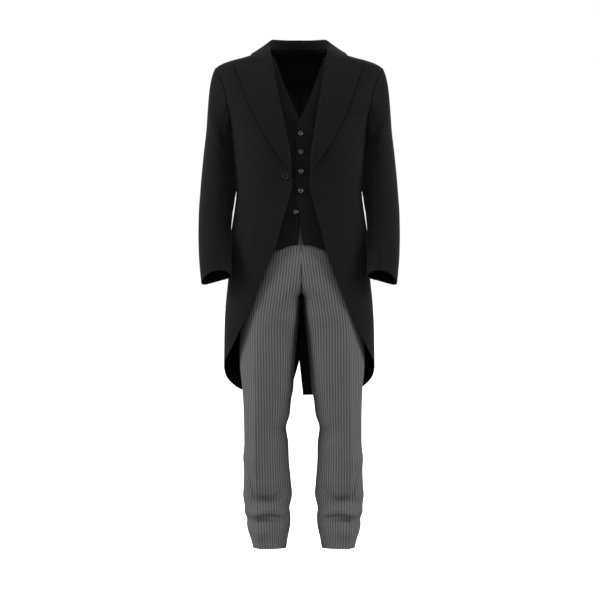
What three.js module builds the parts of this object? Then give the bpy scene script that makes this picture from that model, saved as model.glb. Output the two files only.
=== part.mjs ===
// Morning suit in its worn form, hollow: tailcoat, waistcoat and striped trousers.
// Millimetres, +X to the suit's left, +Y to the back, +Z up.
// The origin is the centre of the neck opening, level with the top of the shoulders.
// Left and right in the names are the suit's own, as worn. Angles are in degrees.

import * as THREE from 'three';

const COAT_CLOTH = 2.4;
const LAPEL_CLOTH = 2;
const WELT_CLOTH = 1.4;
const WAISTCOAT_CLOTH = 2;
const TROUSER_CLOTH = 1.6;
const SEAM_STANDOFF = 0.2;
const TOUCHING_GAP = 0.3;

const LEFT = 1;
const RIGHT = -1;
const DEGREE = Math.PI / 180;

const COAT_LEAN = 0.001;
const TROUSER_LEAN = 0.01;

const materials = {
  coat: cloth(0x1f1f21),
  waistcoat: cloth(0x242427),
  trousers: cloth(0x58585b),
  coatButton: hard(0x17171a),
  waistcoatButton: hard(0x39393d),
};

function cloth(color) {
  return new THREE.MeshStandardMaterial({ color, roughness: 0.9, metalness: 0 });
}

function hard(color) {
  return new THREE.MeshStandardMaterial({ color, roughness: 0.35, metalness: 0.1 });
}

// Tables and the smooth curves read from them

function table(columns, values) {
  return values.map((row) => Object.fromEntries(columns.map((column, index) => [column, row[index]])));
}

// A curve through two columns of a table that never swings past its rows.
function curve(rows, input, output) {
  const sorted = [...rows].sort((first, second) => first[input] - second[input]);
  const xs = sorted.map((row) => row[input]);
  const ys = sorted.map((row) => row[output]);
  const last = xs.length - 1;
  const slopes = xs.slice(1).map((x, index) => (ys[index + 1] - ys[index]) / (x - xs[index]));
  const tangents = xs.map((x, index) => {
    if (index === 0) return slopes[0];
    if (index === last) return slopes[last - 1];
    if (slopes[index - 1] * slopes[index] <= 0) return 0;
    const before = x - xs[index - 1];
    const after = xs[index + 1] - x;
    const weighted = (2 * after + before) / slopes[index - 1] + (after + 2 * before) / slopes[index];
    return (3 * (before + after)) / weighted;
  });
  return (x) => {
    if (x <= xs[0]) return ys[0];
    if (x >= xs[last]) return ys[last];
    let index = 0;
    while (x > xs[index + 1]) index += 1;
    const width = xs[index + 1] - xs[index];
    const t = (x - xs[index]) / width;
    const rise = ys[index + 1] - ys[index];
    const startPull = tangents[index] * width;
    const endPull = tangents[index + 1] * width;
    const square = 3 * rise - 2 * startPull - endPull;
    const cube = startPull + endPull - 2 * rise;
    return ys[index] + t * (startPull + t * (square + t * cube));
  };
}

function mix(from, to, share) {
  return from + (to - from) * share;
}

function ease(share) {
  const t = Math.min(Math.max(share, 0), 1);
  return t * t * (3 - 2 * t);
}

function signedPower(value, power) {
  return Math.sign(value) * Math.abs(value) ** power;
}

function steps(count, from, to) {
  return Array.from({ length: count + 1 }, (unused, index) => mix(from, to, index / count));
}

// Joins lists of [across, along] places whose ends meet, keeping each shared end once.
function joined(...lists) {
  return lists.flatMap((list, index) => (index === 0 ? list : list.slice(1)));
}

// How far a list of folds moves the cloth at one place along and turn round a tube.
function folded(folds, place, turn) {
  return folds.reduce((sum, fold) => {
    const lengthways = (place - fold.place) / fold.length;
    const around = (((((turn - fold.turn) % 360) + 540) % 360) - 180) / fold.spread;
    return sum + fold.reach * Math.exp(-(lengthways ** 2) - around ** 2);
  }, 0);
}

// Cloth walls

// Fills four edges, each a list of [across, along] places, with a grid of places.
function fill({ bottom, top, left, right }) {
  const columns = bottom.length - 1;
  const rows = left.length - 1;
  return left.map((unused, row) => bottom.map((alsoUnused, column) => {
    const u = column / columns;
    const v = row / rows;
    return [0, 1].map((axis) => {
      const ruled = (1 - v) * bottom[column][axis] + v * top[column][axis]
        + (1 - u) * left[row][axis] + u * right[row][axis];
      const corners = (1 - v) * mix(bottom[0][axis], bottom[columns][axis], u)
        + v * mix(top[0][axis], top[columns][axis], u);
      return ruled - corners;
    });
  }));
}

// The outward direction of a surface at one place.
function outward(surface, across, along) {
  const step = 0.4;
  const sideways = surface(across + step, along).sub(surface(across - step, along));
  const lengthways = surface(across, along + step).sub(surface(across, along - step));
  return sideways.cross(lengthways).normalize();
}

// Lays a grid of places on a surface, lifted off it by lift(u, v).
function lay(surface, places, lift = () => 0) {
  const rows = places.length - 1;
  return places.map((line, row) => line.map(([across, along], column) => {
    const normal = outward(surface, across, along);
    const height = lift(column / (line.length - 1), row / rows);
    return { point: surface(across, along).addScaledVector(normal, height), normal };
  }));
}

// Gives a grid of points their directions from their neighbours.
function directed(points) {
  const at = (row, column) => points[Math.min(Math.max(row, 0), points.length - 1)]
    .at(Math.min(Math.max(column, 0), points[0].length - 1));
  return points.map((line, row) => line.map((point, column) => {
    const sideways = at(row, column + 1).clone().sub(at(row, column - 1));
    const lengthways = at(row + 1, column).clone().sub(at(row - 1, column));
    return { point, normal: sideways.cross(lengthways).normalize() };
  }));
}

// Draws the named edges of a grid back from their seams.
function standBack(grid, edges, distance) {
  const lastRow = grid.length - 1;
  const lastColumn = grid[0].length - 1;
  const inner = {
    left: (row, column) => (column === 0 ? [row, 1] : null),
    right: (row, column) => (column === lastColumn ? [row, lastColumn - 1] : null),
    bottom: (row, column) => (row === 0 ? [1, column] : null),
    top: (row, column) => (row === lastRow ? [lastRow - 1, column] : null),
  };
  return grid.map((line, row) => line.map(({ point, normal }, column) => {
    const moved = point.clone();
    for (const edge of edges) {
      const neighbour = inner[edge](row, column);
      if (neighbour) {
        const towards = grid[neighbour[0]][neighbour[1]].point.clone().sub(point).normalize();
        moved.addScaledVector(towards, distance);
      }
    }
    return { point: moved, normal };
  }));
}

// One closed wall of cloth with the grid in its middle; `place` puts a point where it is worn.
function clothWall(name, material, grid, thickness, place, mirrored = false) {
  const rows = grid.length;
  const columns = grid[0].length;
  const positions = [];
  for (const half of [thickness / 2, -thickness / 2]) {
    for (const line of grid) {
      for (const { point, normal } of line) {
        positions.push(...place(point.clone().addScaledVector(normal, half)).toArray());
      }
    }
  }
  const outer = (row, column) => row * columns + column;
  const inner = (row, column) => rows * columns + row * columns + column;
  const triangles = [];
  const quad = (a, b, c, d) => triangles.push([a, b, c], [a, c, d]);
  for (let row = 0; row < rows - 1; row += 1) {
    for (let column = 0; column < columns - 1; column += 1) {
      const [up, over] = [row + 1, column + 1];
      quad(outer(row, column), outer(row, over), outer(up, over), outer(up, column));
      quad(inner(row, column), inner(up, column), inner(up, over), inner(row, over));
    }
  }
  for (let column = 0; column < columns - 1; column += 1) {
    const [over, top] = [column + 1, rows - 1];
    quad(outer(0, column), inner(0, column), inner(0, over), outer(0, over));
    quad(outer(top, column), outer(top, over), inner(top, over), inner(top, column));
  }
  for (let row = 0; row < rows - 1; row += 1) {
    const [up, end] = [row + 1, columns - 1];
    quad(outer(row, 0), outer(up, 0), inner(up, 0), inner(row, 0));
    quad(outer(row, end), inner(row, end), inner(up, end), outer(up, end));
  }
  const geometry = new THREE.BufferGeometry();
  geometry.setAttribute('position', new THREE.Float32BufferAttribute(positions, 3));
  geometry.setIndex(triangles.flatMap(([a, b, c]) => (mirrored ? [a, c, b] : [a, b, c])));
  geometry.computeVertexNormals();
  const mesh = new THREE.Mesh(geometry, material);
  mesh.name = name;
  return mesh;
}

function worn(side, lean) {
  return (point) => new THREE.Vector3(side * point.x - lean * point.z, point.y, point.z);
}

// A panel of the half garment at +X, mirrored for the right side.
function panel(name, material, side, lean, thickness, surface, places, seams, lift) {
  const grid = standBack(lay(surface, places, lift), seams, SEAM_STANDOFF);
  return clothWall(name, material, grid, thickness, worn(side, lean), side === RIGHT);
}

// The coat's body: a full oval at each height, 0 at the front, 90 at the side, 180 at the back

const BODY_FULLNESS = 2.3;

const coatBody = table(['height', 'side', 'front', 'back', 'centre'], [
  [-6, 70, 40, 60, 15],
  [-13, 86, 46, 64, 15],
  [-24, 112, 53, 72, 14],
  [-35, 143, 60, 80, 13],
  [-45, 177, 66, 86, 12],
  [-52, 203, 70, 90, 11],
  [-60, 225, 74, 94, 10.5],
  [-70, 241, 79, 98, 10],
  [-84, 246.5, 88, 103, 9],
  [-120, 243, 105, 118, 6],
  [-170, 236, 122, 128, 2],
  [-235, 210, 132, 132, 0],
  [-300, 195, 135, 124, 0],
  [-360, 189, 130, 112, 0],
  [-417, 185, 123, 105, 0],
  [-438, 184, 122, 104, 0],
  [-500, 191, 122, 112, 0],
  [-547, 198, 123, 120, 0],
  [-620, 203, 125, 132, 0],
  [-700, 209, 130, 138, 0],
  [-760, 215, 132, 140, 0],
  [-818, 219, 132, 140, 0],
  [-930, 221, 130, 144, 0],
  [-1047, 222, 130, 150, 0],
]);

const bodySide = curve(coatBody, 'height', 'side');
const bodyFront = curve(coatBody, 'height', 'front');
const bodyBack = curve(coatBody, 'height', 'back');
const bodyCentre = curve(coatBody, 'height', 'centre');

// A layer of the torso, `inset` inside the coat.
function torsoLayer(inset) {
  return (angle, height) => {
    const [sine, cosine] = [Math.sin(angle * DEGREE), Math.cos(angle * DEGREE)];
    const depth = cosine >= 0 ? bodyFront(height) : bodyBack(height);
    const away = inset(height, angle);
    return new THREE.Vector3(
      (bodySide(height) - away) * signedPower(sine, 2 / BODY_FULLNESS),
      bodyCentre(height) - (depth - away) * signedPower(cosine, 2 / BODY_FULLNESS),
      height,
    );
  };
}

const coatSurface = torsoLayer(() => 0);

// The angle at which a layer lies `offset` to the side of the centre line in front.
function frontAngle(offset, height, inset = 0) {
  const share = Math.min(Math.max(offset / (bodySide(height) - inset), -1), 1);
  return Math.asin(signedPower(share, BODY_FULLNESS / 2)) / DEGREE;
}

// Seams of the coat, as places of [angle, height]

const SHOULDER_ANGLE = 92;
const NECK_POINT = -13;
const NAPE = -8;
const SHOULDER_TIP = -70;
const WAIST_FRONT = -470;
const HEM_BACK = -1047;
const SIDE_SEAM_ANGLE = 76;
const BACK_SEAM_ANGLE = 167;
const TAIL_SEAM_ANGLE = 164;
const WAIST_BACK = -436;
const TAIL_CORNER_ANGLE = 90;
const OPENING_SHIFT = 5;

const FOREPART_COLUMNS = 7;
const SIDEBODY_COLUMNS = 7;
const SIDE_SEAM_ROWS = 7;
const TAIL_ROWS = 14;

const waistSeam = curve(table(['angle', 'height'], [
  [0, -474],
  [9, WAIST_FRONT],
  [30, -458],
  [50, -446],
  [SIDE_SEAM_ANGLE, -438],
  [120, WAIST_BACK],
  [180, WAIST_BACK],
]), 'angle', 'height');

const armholePlaces = table(['turn', 'angle', 'height'], [
  [0, SHOULDER_ANGLE, SHOULDER_TIP],
  [30, 75, -87],
  [60, 65, -125],
  [90, 61, -170],
  [120, 64, -207],
  [150, 73, -231],
  [180, 88, -242],
  [210, 104, -234],
  [240, 117, -206],
  [270, 122, -165],
  [300, 118, -122],
  [330, 107, -87],
  [360, SHOULDER_ANGLE, SHOULDER_TIP],
]);
const armholeAngle = curve(armholePlaces, 'turn', 'angle');
const armholeHeight = curve(armholePlaces, 'turn', 'height');
const ARMHOLE_STEP = 15;
const UNDERARM_TURN = 165;
const BACK_SEAM_TURN = 270;

function armhole(turn) {
  const wrapped = ((turn % 360) + 360) % 360;
  return [armholeAngle(wrapped), armholeHeight(wrapped)];
}

function armholeStretch(from, to) {
  return steps(Math.abs(to - from) / ARMHOLE_STEP, from, to).map((turn) => {
    return turn === 360 ? [SHOULDER_ANGLE, SHOULDER_TIP] : armhole(turn);
  });
}

// The front edge: the roll line of the lapel above, the open fronts below.
const frontEdge = curve(table(['height', 'offset'], [
  [-24, 84.5],
  [-40, 82],
  [-92, 74.5],
  [-180, 59.5],
  [-277, 41],
  [-350, 30],
  [-420, 26],
  [-470, 36],
]), 'height', 'offset');
const SHIFT_STARTS = -60;
const SHIFT_ENDS = -400;

function openingShift(height, side) {
  return side * OPENING_SHIFT * ease((SHIFT_STARTS - height) / (SHIFT_STARTS - SHIFT_ENDS));
}

function frontEdgeAngle(height, side) {
  return frontAngle(frontEdge(height) + openingShift(height, side), height);
}

// The cutaway edge from the waist round to the hem of the tail.
function cutawayRows(side) {
  return table(['angle', 'height'], [
    [frontEdgeAngle(WAIST_FRONT, side), WAIST_FRONT],
    [13.3 + side, -540],
    [17.2 + side, -600],
    [21.5, -640],
    [27, -691],
    [36.4, -768],
    [47.2, -830],
    [58, -878],
    [72, -918],
    [TAIL_CORNER_ANGLE, -951],
    [100, -976],
    [115, -1003],
    [129, -1024],
    [150, -1043],
    [180, HEM_BACK],
  ]);
}

function shoulderSeam() {
  return steps(FOREPART_COLUMNS, NECK_POINT, SHOULDER_TIP).map((height) => [SHOULDER_ANGLE, height]);
}

// Side seam of the forepart, from the waist up to the armhole.
function sideSeam() {
  const [topAngle, topHeight] = armhole(UNDERARM_TURN);
  return steps(SIDE_SEAM_ROWS, 0, 1).map((share) => [
    mix(SIDE_SEAM_ANGLE, topAngle, share),
    mix(waistSeam(SIDE_SEAM_ANGLE), topHeight, share),
  ]);
}

// Curved seam between sidebody and back, from the waist up to the armhole.
function backSeam() {
  const [topAngle, topHeight] = armhole(BACK_SEAM_TURN);
  const angleAt = curve(table(['height', 'angle'], [
    [topHeight, topAngle],
    [-220, 133],
    [-300, 148],
    [-380, 160],
    [WAIST_BACK, BACK_SEAM_ANGLE],
  ]), 'height', 'angle');
  return steps(SIDE_SEAM_ROWS, WAIST_BACK, topHeight).map((height) => [angleAt(height), height]);
}

// Seam between skirt and tail, from the hem up to the waist.
function tailSeam(hemHeight) {
  return steps(TAIL_ROWS, 0, 1).map((share) => [
    mix(TAIL_SEAM_ANGLE, BACK_SEAM_ANGLE, share),
    mix(hemHeight, WAIST_BACK, share),
  ]);
}

const VENT_TOP = -943;
const VENT_SPREAD = { [LEFT]: 11, [RIGHT]: 30 };
const NECKLINE_BACK_ROWS = 4;
const BACK_EDGE_ROWS = 9;

function centreBackAngle(height, side) {
  const spread = VENT_SPREAD[side] * Math.max(0, (VENT_TOP - height) / (VENT_TOP - HEM_BACK));
  return 180 - frontAngle(spread, height);
}

function forepart(side) {
  const edgeAngle = frontEdgeAngle(WAIST_FRONT, side);
  const collarStart = -24;
  const edgeRows = 15;
  const neckRows = 3;
  const edge = steps(edgeRows, WAIST_FRONT, collarStart).map((height) => {
    return [frontEdgeAngle(height, side), height];
  });
  const neckline = steps(neckRows, 0, 1).map((share) => [
    mix(frontEdgeAngle(collarStart, side), SHOULDER_ANGLE, share),
    mix(collarStart, NECK_POINT, share),
  ]);
  return fill({
    bottom: steps(FOREPART_COLUMNS, edgeAngle, SIDE_SEAM_ANGLE).map((angle, index) => [
      angle,
      index === 0 ? WAIST_FRONT : waistSeam(angle),
    ]),
    top: shoulderSeam(),
    left: joined(edge, neckline),
    right: joined(sideSeam(), armholeStretch(UNDERARM_TURN, 0)),
  });
}

function sidebody() {
  const waistAngles = steps(SIDEBODY_COLUMNS, SIDE_SEAM_ANGLE, BACK_SEAM_ANGLE);
  return fill({
    bottom: waistAngles.map((angle) => [angle, waistSeam(angle)]),
    top: armholeStretch(UNDERARM_TURN, BACK_SEAM_TURN),
    left: sideSeam(),
    right: backSeam(),
  });
}

function skirt(side) {
  const rows = cutawayRows(side);
  const hem = curve(rows, 'angle', 'height');
  const edge = curve(rows, 'height', 'angle');
  const edgeAngle = frontEdgeAngle(WAIST_FRONT, side);
  const underForepart = steps(FOREPART_COLUMNS, edgeAngle, SIDE_SEAM_ANGLE);
  const underSidebody = steps(SIDEBODY_COLUMNS, SIDE_SEAM_ANGLE, BACK_SEAM_ANGLE);
  const waistAngles = [...underForepart, ...underSidebody.slice(1)];
  const hemAngles = steps(waistAngles.length - 1, TAIL_CORNER_ANGLE, TAIL_SEAM_ANGLE);
  return fill({
    bottom: hemAngles.map((angle) => [angle, hem(angle)]),
    top: waistAngles.map((angle, index) => [angle, index === 0 ? WAIST_FRONT : waistSeam(angle)]),
    left: steps(TAIL_ROWS, hem(TAIL_CORNER_ANGLE), WAIST_FRONT).map((height) => [edge(height), height]),
    right: tailSeam(hem(TAIL_SEAM_ANGLE)),
  });
}

function coatBack(side) {
  const hem = curve(cutawayRows(side), 'angle', 'height');
  const hemCorner = centreBackAngle(HEM_BACK, side);
  const tailEdge = steps(TAIL_ROWS, HEM_BACK, WAIST_BACK);
  const backEdge = steps(BACK_EDGE_ROWS, WAIST_BACK, NAPE);
  const centre = joined(tailEdge, backEdge).map((height) => [centreBackAngle(height, side), height]);
  const neckline = steps(NECKLINE_BACK_ROWS, 0, 1).map((share) => [
    mix(180, SHOULDER_ANGLE, share),
    mix(NAPE, NECK_POINT, share),
  ]);
  return fill({
    bottom: steps(FOREPART_COLUMNS, TAIL_SEAM_ANGLE, hemCorner).map((angle, index) => [
      angle,
      index === FOREPART_COLUMNS ? HEM_BACK : hem(angle),
    ]),
    top: shoulderSeam().reverse(),
    left: joined(tailSeam(hem(TAIL_SEAM_ANGLE)), backSeam(), armholeStretch(BACK_SEAM_TURN, 360)),
    right: joined(centre, neckline),
  });
}

// Sleeves: a ring at each step down the arm, 0 at the outside, 90 in front, 180 at the inside

const SLEEVE_START_LIFT = 3;
const SLEEVE_HEAD_SHARE = 0.22;
const SLEEVE_ROWS = 11;
const TOP_SLEEVE_TURNS = [-105, 105];
const UNDER_SLEEVE_TURNS = [105, 255];

const sleeveOutside = curve(table(['height', 'offset'], [
  [-70, 244],
  [-84, 250],
  [-110, 257],
  [-140, 262],
  [-200, 268],
  [-252, 272],
  [-320, 280],
  [-432, 290],
  [-509, 294],
  [-547, 294],
  [-610, 291],
  [-662, 286],
  [-703, 281],
]), 'height', 'offset');

const sleeveInside = curve(table(['height', 'offset'], [
  [-242, 211],
  [-300, 200],
  [-360, 194.5],
  [-417, 191.5],
  [-470, 195],
  [-547, 203],
  [-600, 202],
  [-660, 198],
  [-700, 196],
]), 'height', 'offset');

const sleeveDepth = table(['height', 'centre', 'half'], [
  [-70, 8, 68],
  [-170, 6, 71],
  [-300, 12, 72],
  [-432, 2, 69],
  [-500, -10, 65],
  [-547, -24, 61],
  [-600, -50, 56],
  [-660, -80, 51],
  [-703, -95, 49],
]);
const sleeveCentre = curve(sleeveDepth, 'height', 'centre');
const sleeveHalfDepth = curve(sleeveDepth, 'height', 'half');

// Heights of the four guide lines of the sleeve, at the armhole and at the cuff.
const sleeveGuides = {
  outside: { armhole: SHOULDER_TIP, cuff: -703 },
  front: { armhole: -170, cuff: -667 },
  inside: { armhole: -242, cuff: -680 },
  back: { armhole: -165, cuff: -698 },
};

// Creases at the bend of the elbow: where, how deep, and how far they spread.
const sleeveCreases = table(['place', 'turn', 'reach', 'length', 'spread'], [
  [0.5, 125, -4, 0.03, 45],
  [0.56, 105, 3, 0.03, 45],
  [0.62, 130, -3.5, 0.03, 45],
]);

function guidePoint(guide, share) {
  const { armhole: from, cuff: to } = sleeveGuides[guide];
  const height = mix(from, to, share);
  const middle = (sleeveOutside(height) + sleeveInside(height)) / 2;
  const places = {
    outside: [sleeveOutside(height), sleeveCentre(height)],
    front: [middle, sleeveCentre(height) - sleeveHalfDepth(height)],
    inside: [sleeveInside(height), sleeveCentre(height)],
    back: [middle, sleeveCentre(height) + sleeveHalfDepth(height)],
  };
  return new THREE.Vector3(...places[guide], height);
}


function sleeveRing(turn, share) {
  const [outside, front, inside, back] = ['outside', 'front', 'inside', 'back']
    .map((guide) => guidePoint(guide, share));
  const centre = outside.clone().add(front).add(inside).add(back).multiplyScalar(0.25);
  const ring = centre.clone();
  ring.addScaledVector(outside.clone().sub(inside), Math.cos(turn * DEGREE) / 2);
  ring.addScaledVector(front.clone().sub(back), Math.sin(turn * DEGREE) / 2);
  const uneven = outside.clone().add(inside).sub(front).sub(back);
  ring.addScaledVector(uneven, Math.cos(2 * turn * DEGREE) / 4);
  const fromCentre = ring.clone().sub(centre).setZ(0).normalize();
  return ring.addScaledVector(fromCentre, folded(sleeveCreases, share, turn));
}

// The sleeve from the armhole (0) to the cuff (100).
function sleeveSurface(turn, along) {
  const share = along / 100;
  const [angle, height] = armhole(turn);
  const start = coatSurface(angle, height);
  start.addScaledVector(outward(coatSurface, angle, height), SLEEVE_START_LIFT);
  const held = 1 - ease(share / SLEEVE_HEAD_SHARE);
  return sleeveRing(turn, share).addScaledVector(start.sub(sleeveRing(turn, 0)), held);
}

function sleevePanel([from, to]) {
  const turns = steps((to - from) / ARMHOLE_STEP, from, to);
  const rows = steps(SLEEVE_ROWS, 0, 1).map((share) => 100 * share ** 1.15);
  return rows.map((along) => turns.map((turn) => [turn, along]));
}

// Lapel: lies on the forepart from the roll line to its edge and its peak

const LAPEL_ROWS = 14;
const LAPEL_BOTTOM = -388;
const GORGE_HEIGHT = -84;
const NOTCH = { angle: 35, height: -70 };
const PEAK = { offset: 187, height: -56 };

const lapelEdge = curve(table(['height', 'offset'], [
  [LAPEL_BOTTOM, 31],
  [-374, 37],
  [-328, 69],
  [-262, 108],
  [-196, 141],
  [-130, 165],
  [-90, 177],
  [PEAK.height, PEAK.offset],
]), 'height', 'offset');

const lapelLift = curve(table(['share', 'lift'], [
  [0, 3],
  [0.15, 6.2],
  [0.6, 5.8],
  [1, 5.2],
]), 'share', 'lift');

function lapel(side) {
  const gorgeAngle = frontEdgeAngle(GORGE_HEIGHT, side);
  const peakAngle = frontAngle(PEAK.offset, PEAK.height);
  const gorge = steps(3, 0, 1).map((share) => [
    mix(gorgeAngle, NOTCH.angle, share),
    mix(GORGE_HEIGHT, NOTCH.height, share),
  ]);
  const peak = steps(2, 0, 1).map((share) => [
    mix(NOTCH.angle, peakAngle, share),
    mix(NOTCH.height, PEAK.height, share),
  ]);
  const top = joined(gorge, peak);
  const roll = steps(LAPEL_ROWS, LAPEL_BOTTOM, GORGE_HEIGHT).map((height) => {
    return [frontEdgeAngle(height, side), height];
  });
  const edge = steps(LAPEL_ROWS, LAPEL_BOTTOM, PEAK.height).map((height) => [
    frontAngle(lapelEdge(height) + openingShift(height, side), height),
    height,
  ]);
  return fill({
    bottom: steps(top.length - 1, 0, 1).map((share) => [mix(roll[0][0], edge[0][0], share), LAPEL_BOTTOM]),
    top,
    left: roll,
    right: edge,
  });
}

// Collar: a stand round the neck that folds over into a leaf on the shoulders

const COLLAR_STEPS = 12;

const collarLine = table(['share', 'seamAngle', 'seamHeight', 'stand', 'lean', 'leafAngle', 'leafHeight'], [
  [0, 180, NAPE, 29, 8, 180, -33],
  [0.25, 136, -10, 29, 9, 138, -31],
  [0.5, SHOULDER_ANGLE, NECK_POINT, 27, 11, SHOULDER_ANGLE, -28.5],
  [0.62, 72, -17, 19, 9, 66, -36],
  [0.75, 46.3, -24, 9, 4, 45, -49],
  [0.87, 24, -48, 4.5, 1, 39, -60],
  [1, 14.9, GORGE_HEIGHT, 4, 0, NOTCH.angle, NOTCH.height],
]);
const COLLAR_LEAF_LIFT = 5.4;
const STAND_RISE = 1.9;
const ROLL_LIFT = 2.9;
const GORGE_STANDOFF = 0.8;

function collarSection(share) {
  const read = (column) => curve(collarLine, 'share', column)(share);
  const [seamAngle, seamHeight] = [read('seamAngle'), read('seamHeight')];
  const [leafAngle, leafHeight] = [read('leafAngle'), read('leafHeight')];
  const seam = coatSurface(seamAngle, seamHeight);
  const outwards = outward(coatSurface, seamAngle, seamHeight);
  const flat = outwards.clone().setZ(0).normalize();
  const onBody = ease((share - 0.55) / 0.3);
  const bottom = seam.clone().add(new THREE.Vector3(0, 0, STAND_RISE));
  bottom.lerp(seam.clone().addScaledVector(outwards, ROLL_LIFT), onBody);
  const foldTop = seam.clone().addScaledVector(flat, -read('lean'));
  foldTop.z += read('stand');
  foldTop.lerp(seam.clone().addScaledVector(outwards, COLLAR_LEAF_LIFT), onBody);
  const leaf = (along) => {
    const angle = mix(seamAngle, leafAngle, along);
    const height = mix(seamHeight, leafHeight, along);
    const laid = coatSurface(angle, height);
    laid.addScaledVector(outward(coatSurface, angle, height), COLLAR_LEAF_LIFT);
    const edge = coatSurface(leafAngle, leafHeight);
    edge.addScaledVector(outward(coatSurface, leafAngle, leafHeight), COLLAR_LEAF_LIFT);
    const hung = foldTop.clone().addScaledVector(flat, 4).lerp(edge, along);
    return hung.lerp(laid, onBody);
  };
  return [
    bottom,
    bottom.clone().lerp(foldTop, 0.85),
    foldTop.clone().addScaledVector(flat, 2),
    leaf(0.06),
    leaf(0.35),
    leaf(0.68),
    leaf(1),
  ];
}

function collar() {
  const sections = steps(2 * COLLAR_STEPS, -1, 1).map((share) => {
    return collarSection(Math.abs(share)).map((point) => {
      return new THREE.Vector3(point.x * (share < 0 ? -1 : 1), point.y, point.z);
    });
  });
  const grid = directed(sections[0].map((unused, row) => sections.map((section) => section[row])));
  return standBack(grid, ['left', 'right'], GORGE_STANDOFF);
}

// Breast welt, on the left forepart

const WELT_GAP = 0.8;
const welt = { inner: 92, outer: 184, bottom: -219, height: 27, slope: 0.05, columns: 4 };

function breastWelt() {
  return [0, welt.height].map((rise) => steps(welt.columns, welt.inner, welt.outer).map((offset) => {
    const height = welt.bottom + rise + (offset - welt.inner) * welt.slope;
    return [frontAngle(offset, height), height];
  }));
}

// Waistcoat: a layer inside the coat

const waistcoatInset = curve(table(['height', 'inset'], [
  [-13, 9],
  [-60, 9.5],
  [-90, 8],
  [-140, 9],
  [-240, 12],
  [-420, 10],
  [-608, 12],
]), 'height', 'inset');
const LAP = 3.4;
const LAP_FULL_ANGLE = 8;
const LAP_END_ANGLE = 26;
const WAISTCOAT_SIDE_ANGLE = 90;
const WAISTCOAT_SIDE_TOP = -262;
const WAISTCOAT_NECK = -17;
const WAISTCOAT_TIP = -42;
const WAISTCOAT_NAPE = -15;
const WAISTCOAT_COLUMNS = 8;
const WAISTCOAT_SIDE_ROWS = 8;
const WAISTCOAT_ARM_ROWS = 8;
const WAISTCOAT_POINT_ANGLE = 19;
const V_BOTTOM = -255;

// The right front lies behind the left one where they lap.
const waistcoatSurface = {
  [LEFT]: torsoLayer((height) => waistcoatInset(height)),
  [RIGHT]: torsoLayer((height, angle) => {
    const behind = 1 - ease((Math.abs(angle) - LAP_FULL_ANGLE) / (LAP_END_ANGLE - LAP_FULL_ANGLE));
    return waistcoatInset(height) + LAP * behind;
  }),
};

const waistcoatEdgeRows = table(['height', 'left', 'right'], [
  [WAISTCOAT_NECK, 81, 81],
  [-40, 75, 75],
  [-64, 68, 68],
  [-100, 56.5, 56.5],
  [-157, 36, 36],
  [-200, 18, 18],
  [-237, 0, 0],
  [V_BOTTOM, -11, -11],
  [-285, -12, -12],
  [-450, -12, -12],
  [-475, -8, -5],
  [-500, -3, 2],
  [-540, 4, 8],
  [-582, 10, 13],
]);
const waistcoatEdge = {
  [LEFT]: curve(waistcoatEdgeRows, 'height', 'left'),
  [RIGHT]: curve(waistcoatEdgeRows, 'height', 'right'),
};
const WAISTCOAT_EDGE_BOTTOM = -582;

const waistcoatHem = curve(table(['angle', 'height'], [
  [0, WAISTCOAT_EDGE_BOTTOM],
  [4, WAISTCOAT_EDGE_BOTTOM],
  [WAISTCOAT_POINT_ANGLE, -608],
  [45, -590],
  [90, -565],
  [135, -553],
  [180, -548],
]), 'angle', 'height');

const waistcoatArmFront = table(['along', 'angle', 'height'], [
  [0, WAISTCOAT_SIDE_ANGLE, WAISTCOAT_SIDE_TOP],
  [1, 70, -247],
  [2, 52, -216],
  [3, 41, -172],
  [4, 38, -132],
  [5, 38, -97],
  [6, 41, -70],
  [7, 56, -53],
  [8, SHOULDER_ANGLE, WAISTCOAT_TIP],
]);

const waistcoatArmBack = table(['along', 'angle', 'height'], [
  [0, WAISTCOAT_SIDE_ANGLE, WAISTCOAT_SIDE_TOP],
  [1, 106, -243],
  [2, 122, -208],
  [3, 133, -168],
  [4, 137, -132],
  [5, 138, -98],
  [6, 136, -72],
  [7, 124, -54],
  [8, SHOULDER_ANGLE, WAISTCOAT_TIP],
]);

function waistcoatShoulder() {
  return steps(WAISTCOAT_COLUMNS, WAISTCOAT_NECK, WAISTCOAT_TIP).map((height) => [SHOULDER_ANGLE, height]);
}

function waistcoatSide() {
  return steps(WAISTCOAT_SIDE_ROWS, waistcoatHem(WAISTCOAT_SIDE_ANGLE), WAISTCOAT_SIDE_TOP)
    .map((height) => [WAISTCOAT_SIDE_ANGLE, height]);
}

function waistcoatFront(side) {
  const edgePlace = (height) => {
    return [frontAngle(waistcoatEdge[side](height), height, waistcoatInset(height)), height];
  };
  const edge = steps(WAISTCOAT_SIDE_ROWS, WAISTCOAT_EDGE_BOTTOM, V_BOTTOM).map(edgePlace);
  const vee = steps(WAISTCOAT_ARM_ROWS, V_BOTTOM, WAISTCOAT_NECK).map(edgePlace);
  vee[WAISTCOAT_ARM_ROWS] = [SHOULDER_ANGLE, WAISTCOAT_NECK];
  const toPoint = steps(3, edge[0][0], WAISTCOAT_POINT_ANGLE);
  const toSide = steps(WAISTCOAT_COLUMNS - 3, WAISTCOAT_POINT_ANGLE, WAISTCOAT_SIDE_ANGLE);
  return fill({
    bottom: [...toPoint, ...toSide.slice(1)].map((angle) => [angle, waistcoatHem(angle)]),
    top: waistcoatShoulder(),
    left: joined(edge, vee),
    right: joined(waistcoatSide(), waistcoatArmFront.map((row) => [row.angle, row.height])),
  });
}

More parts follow.
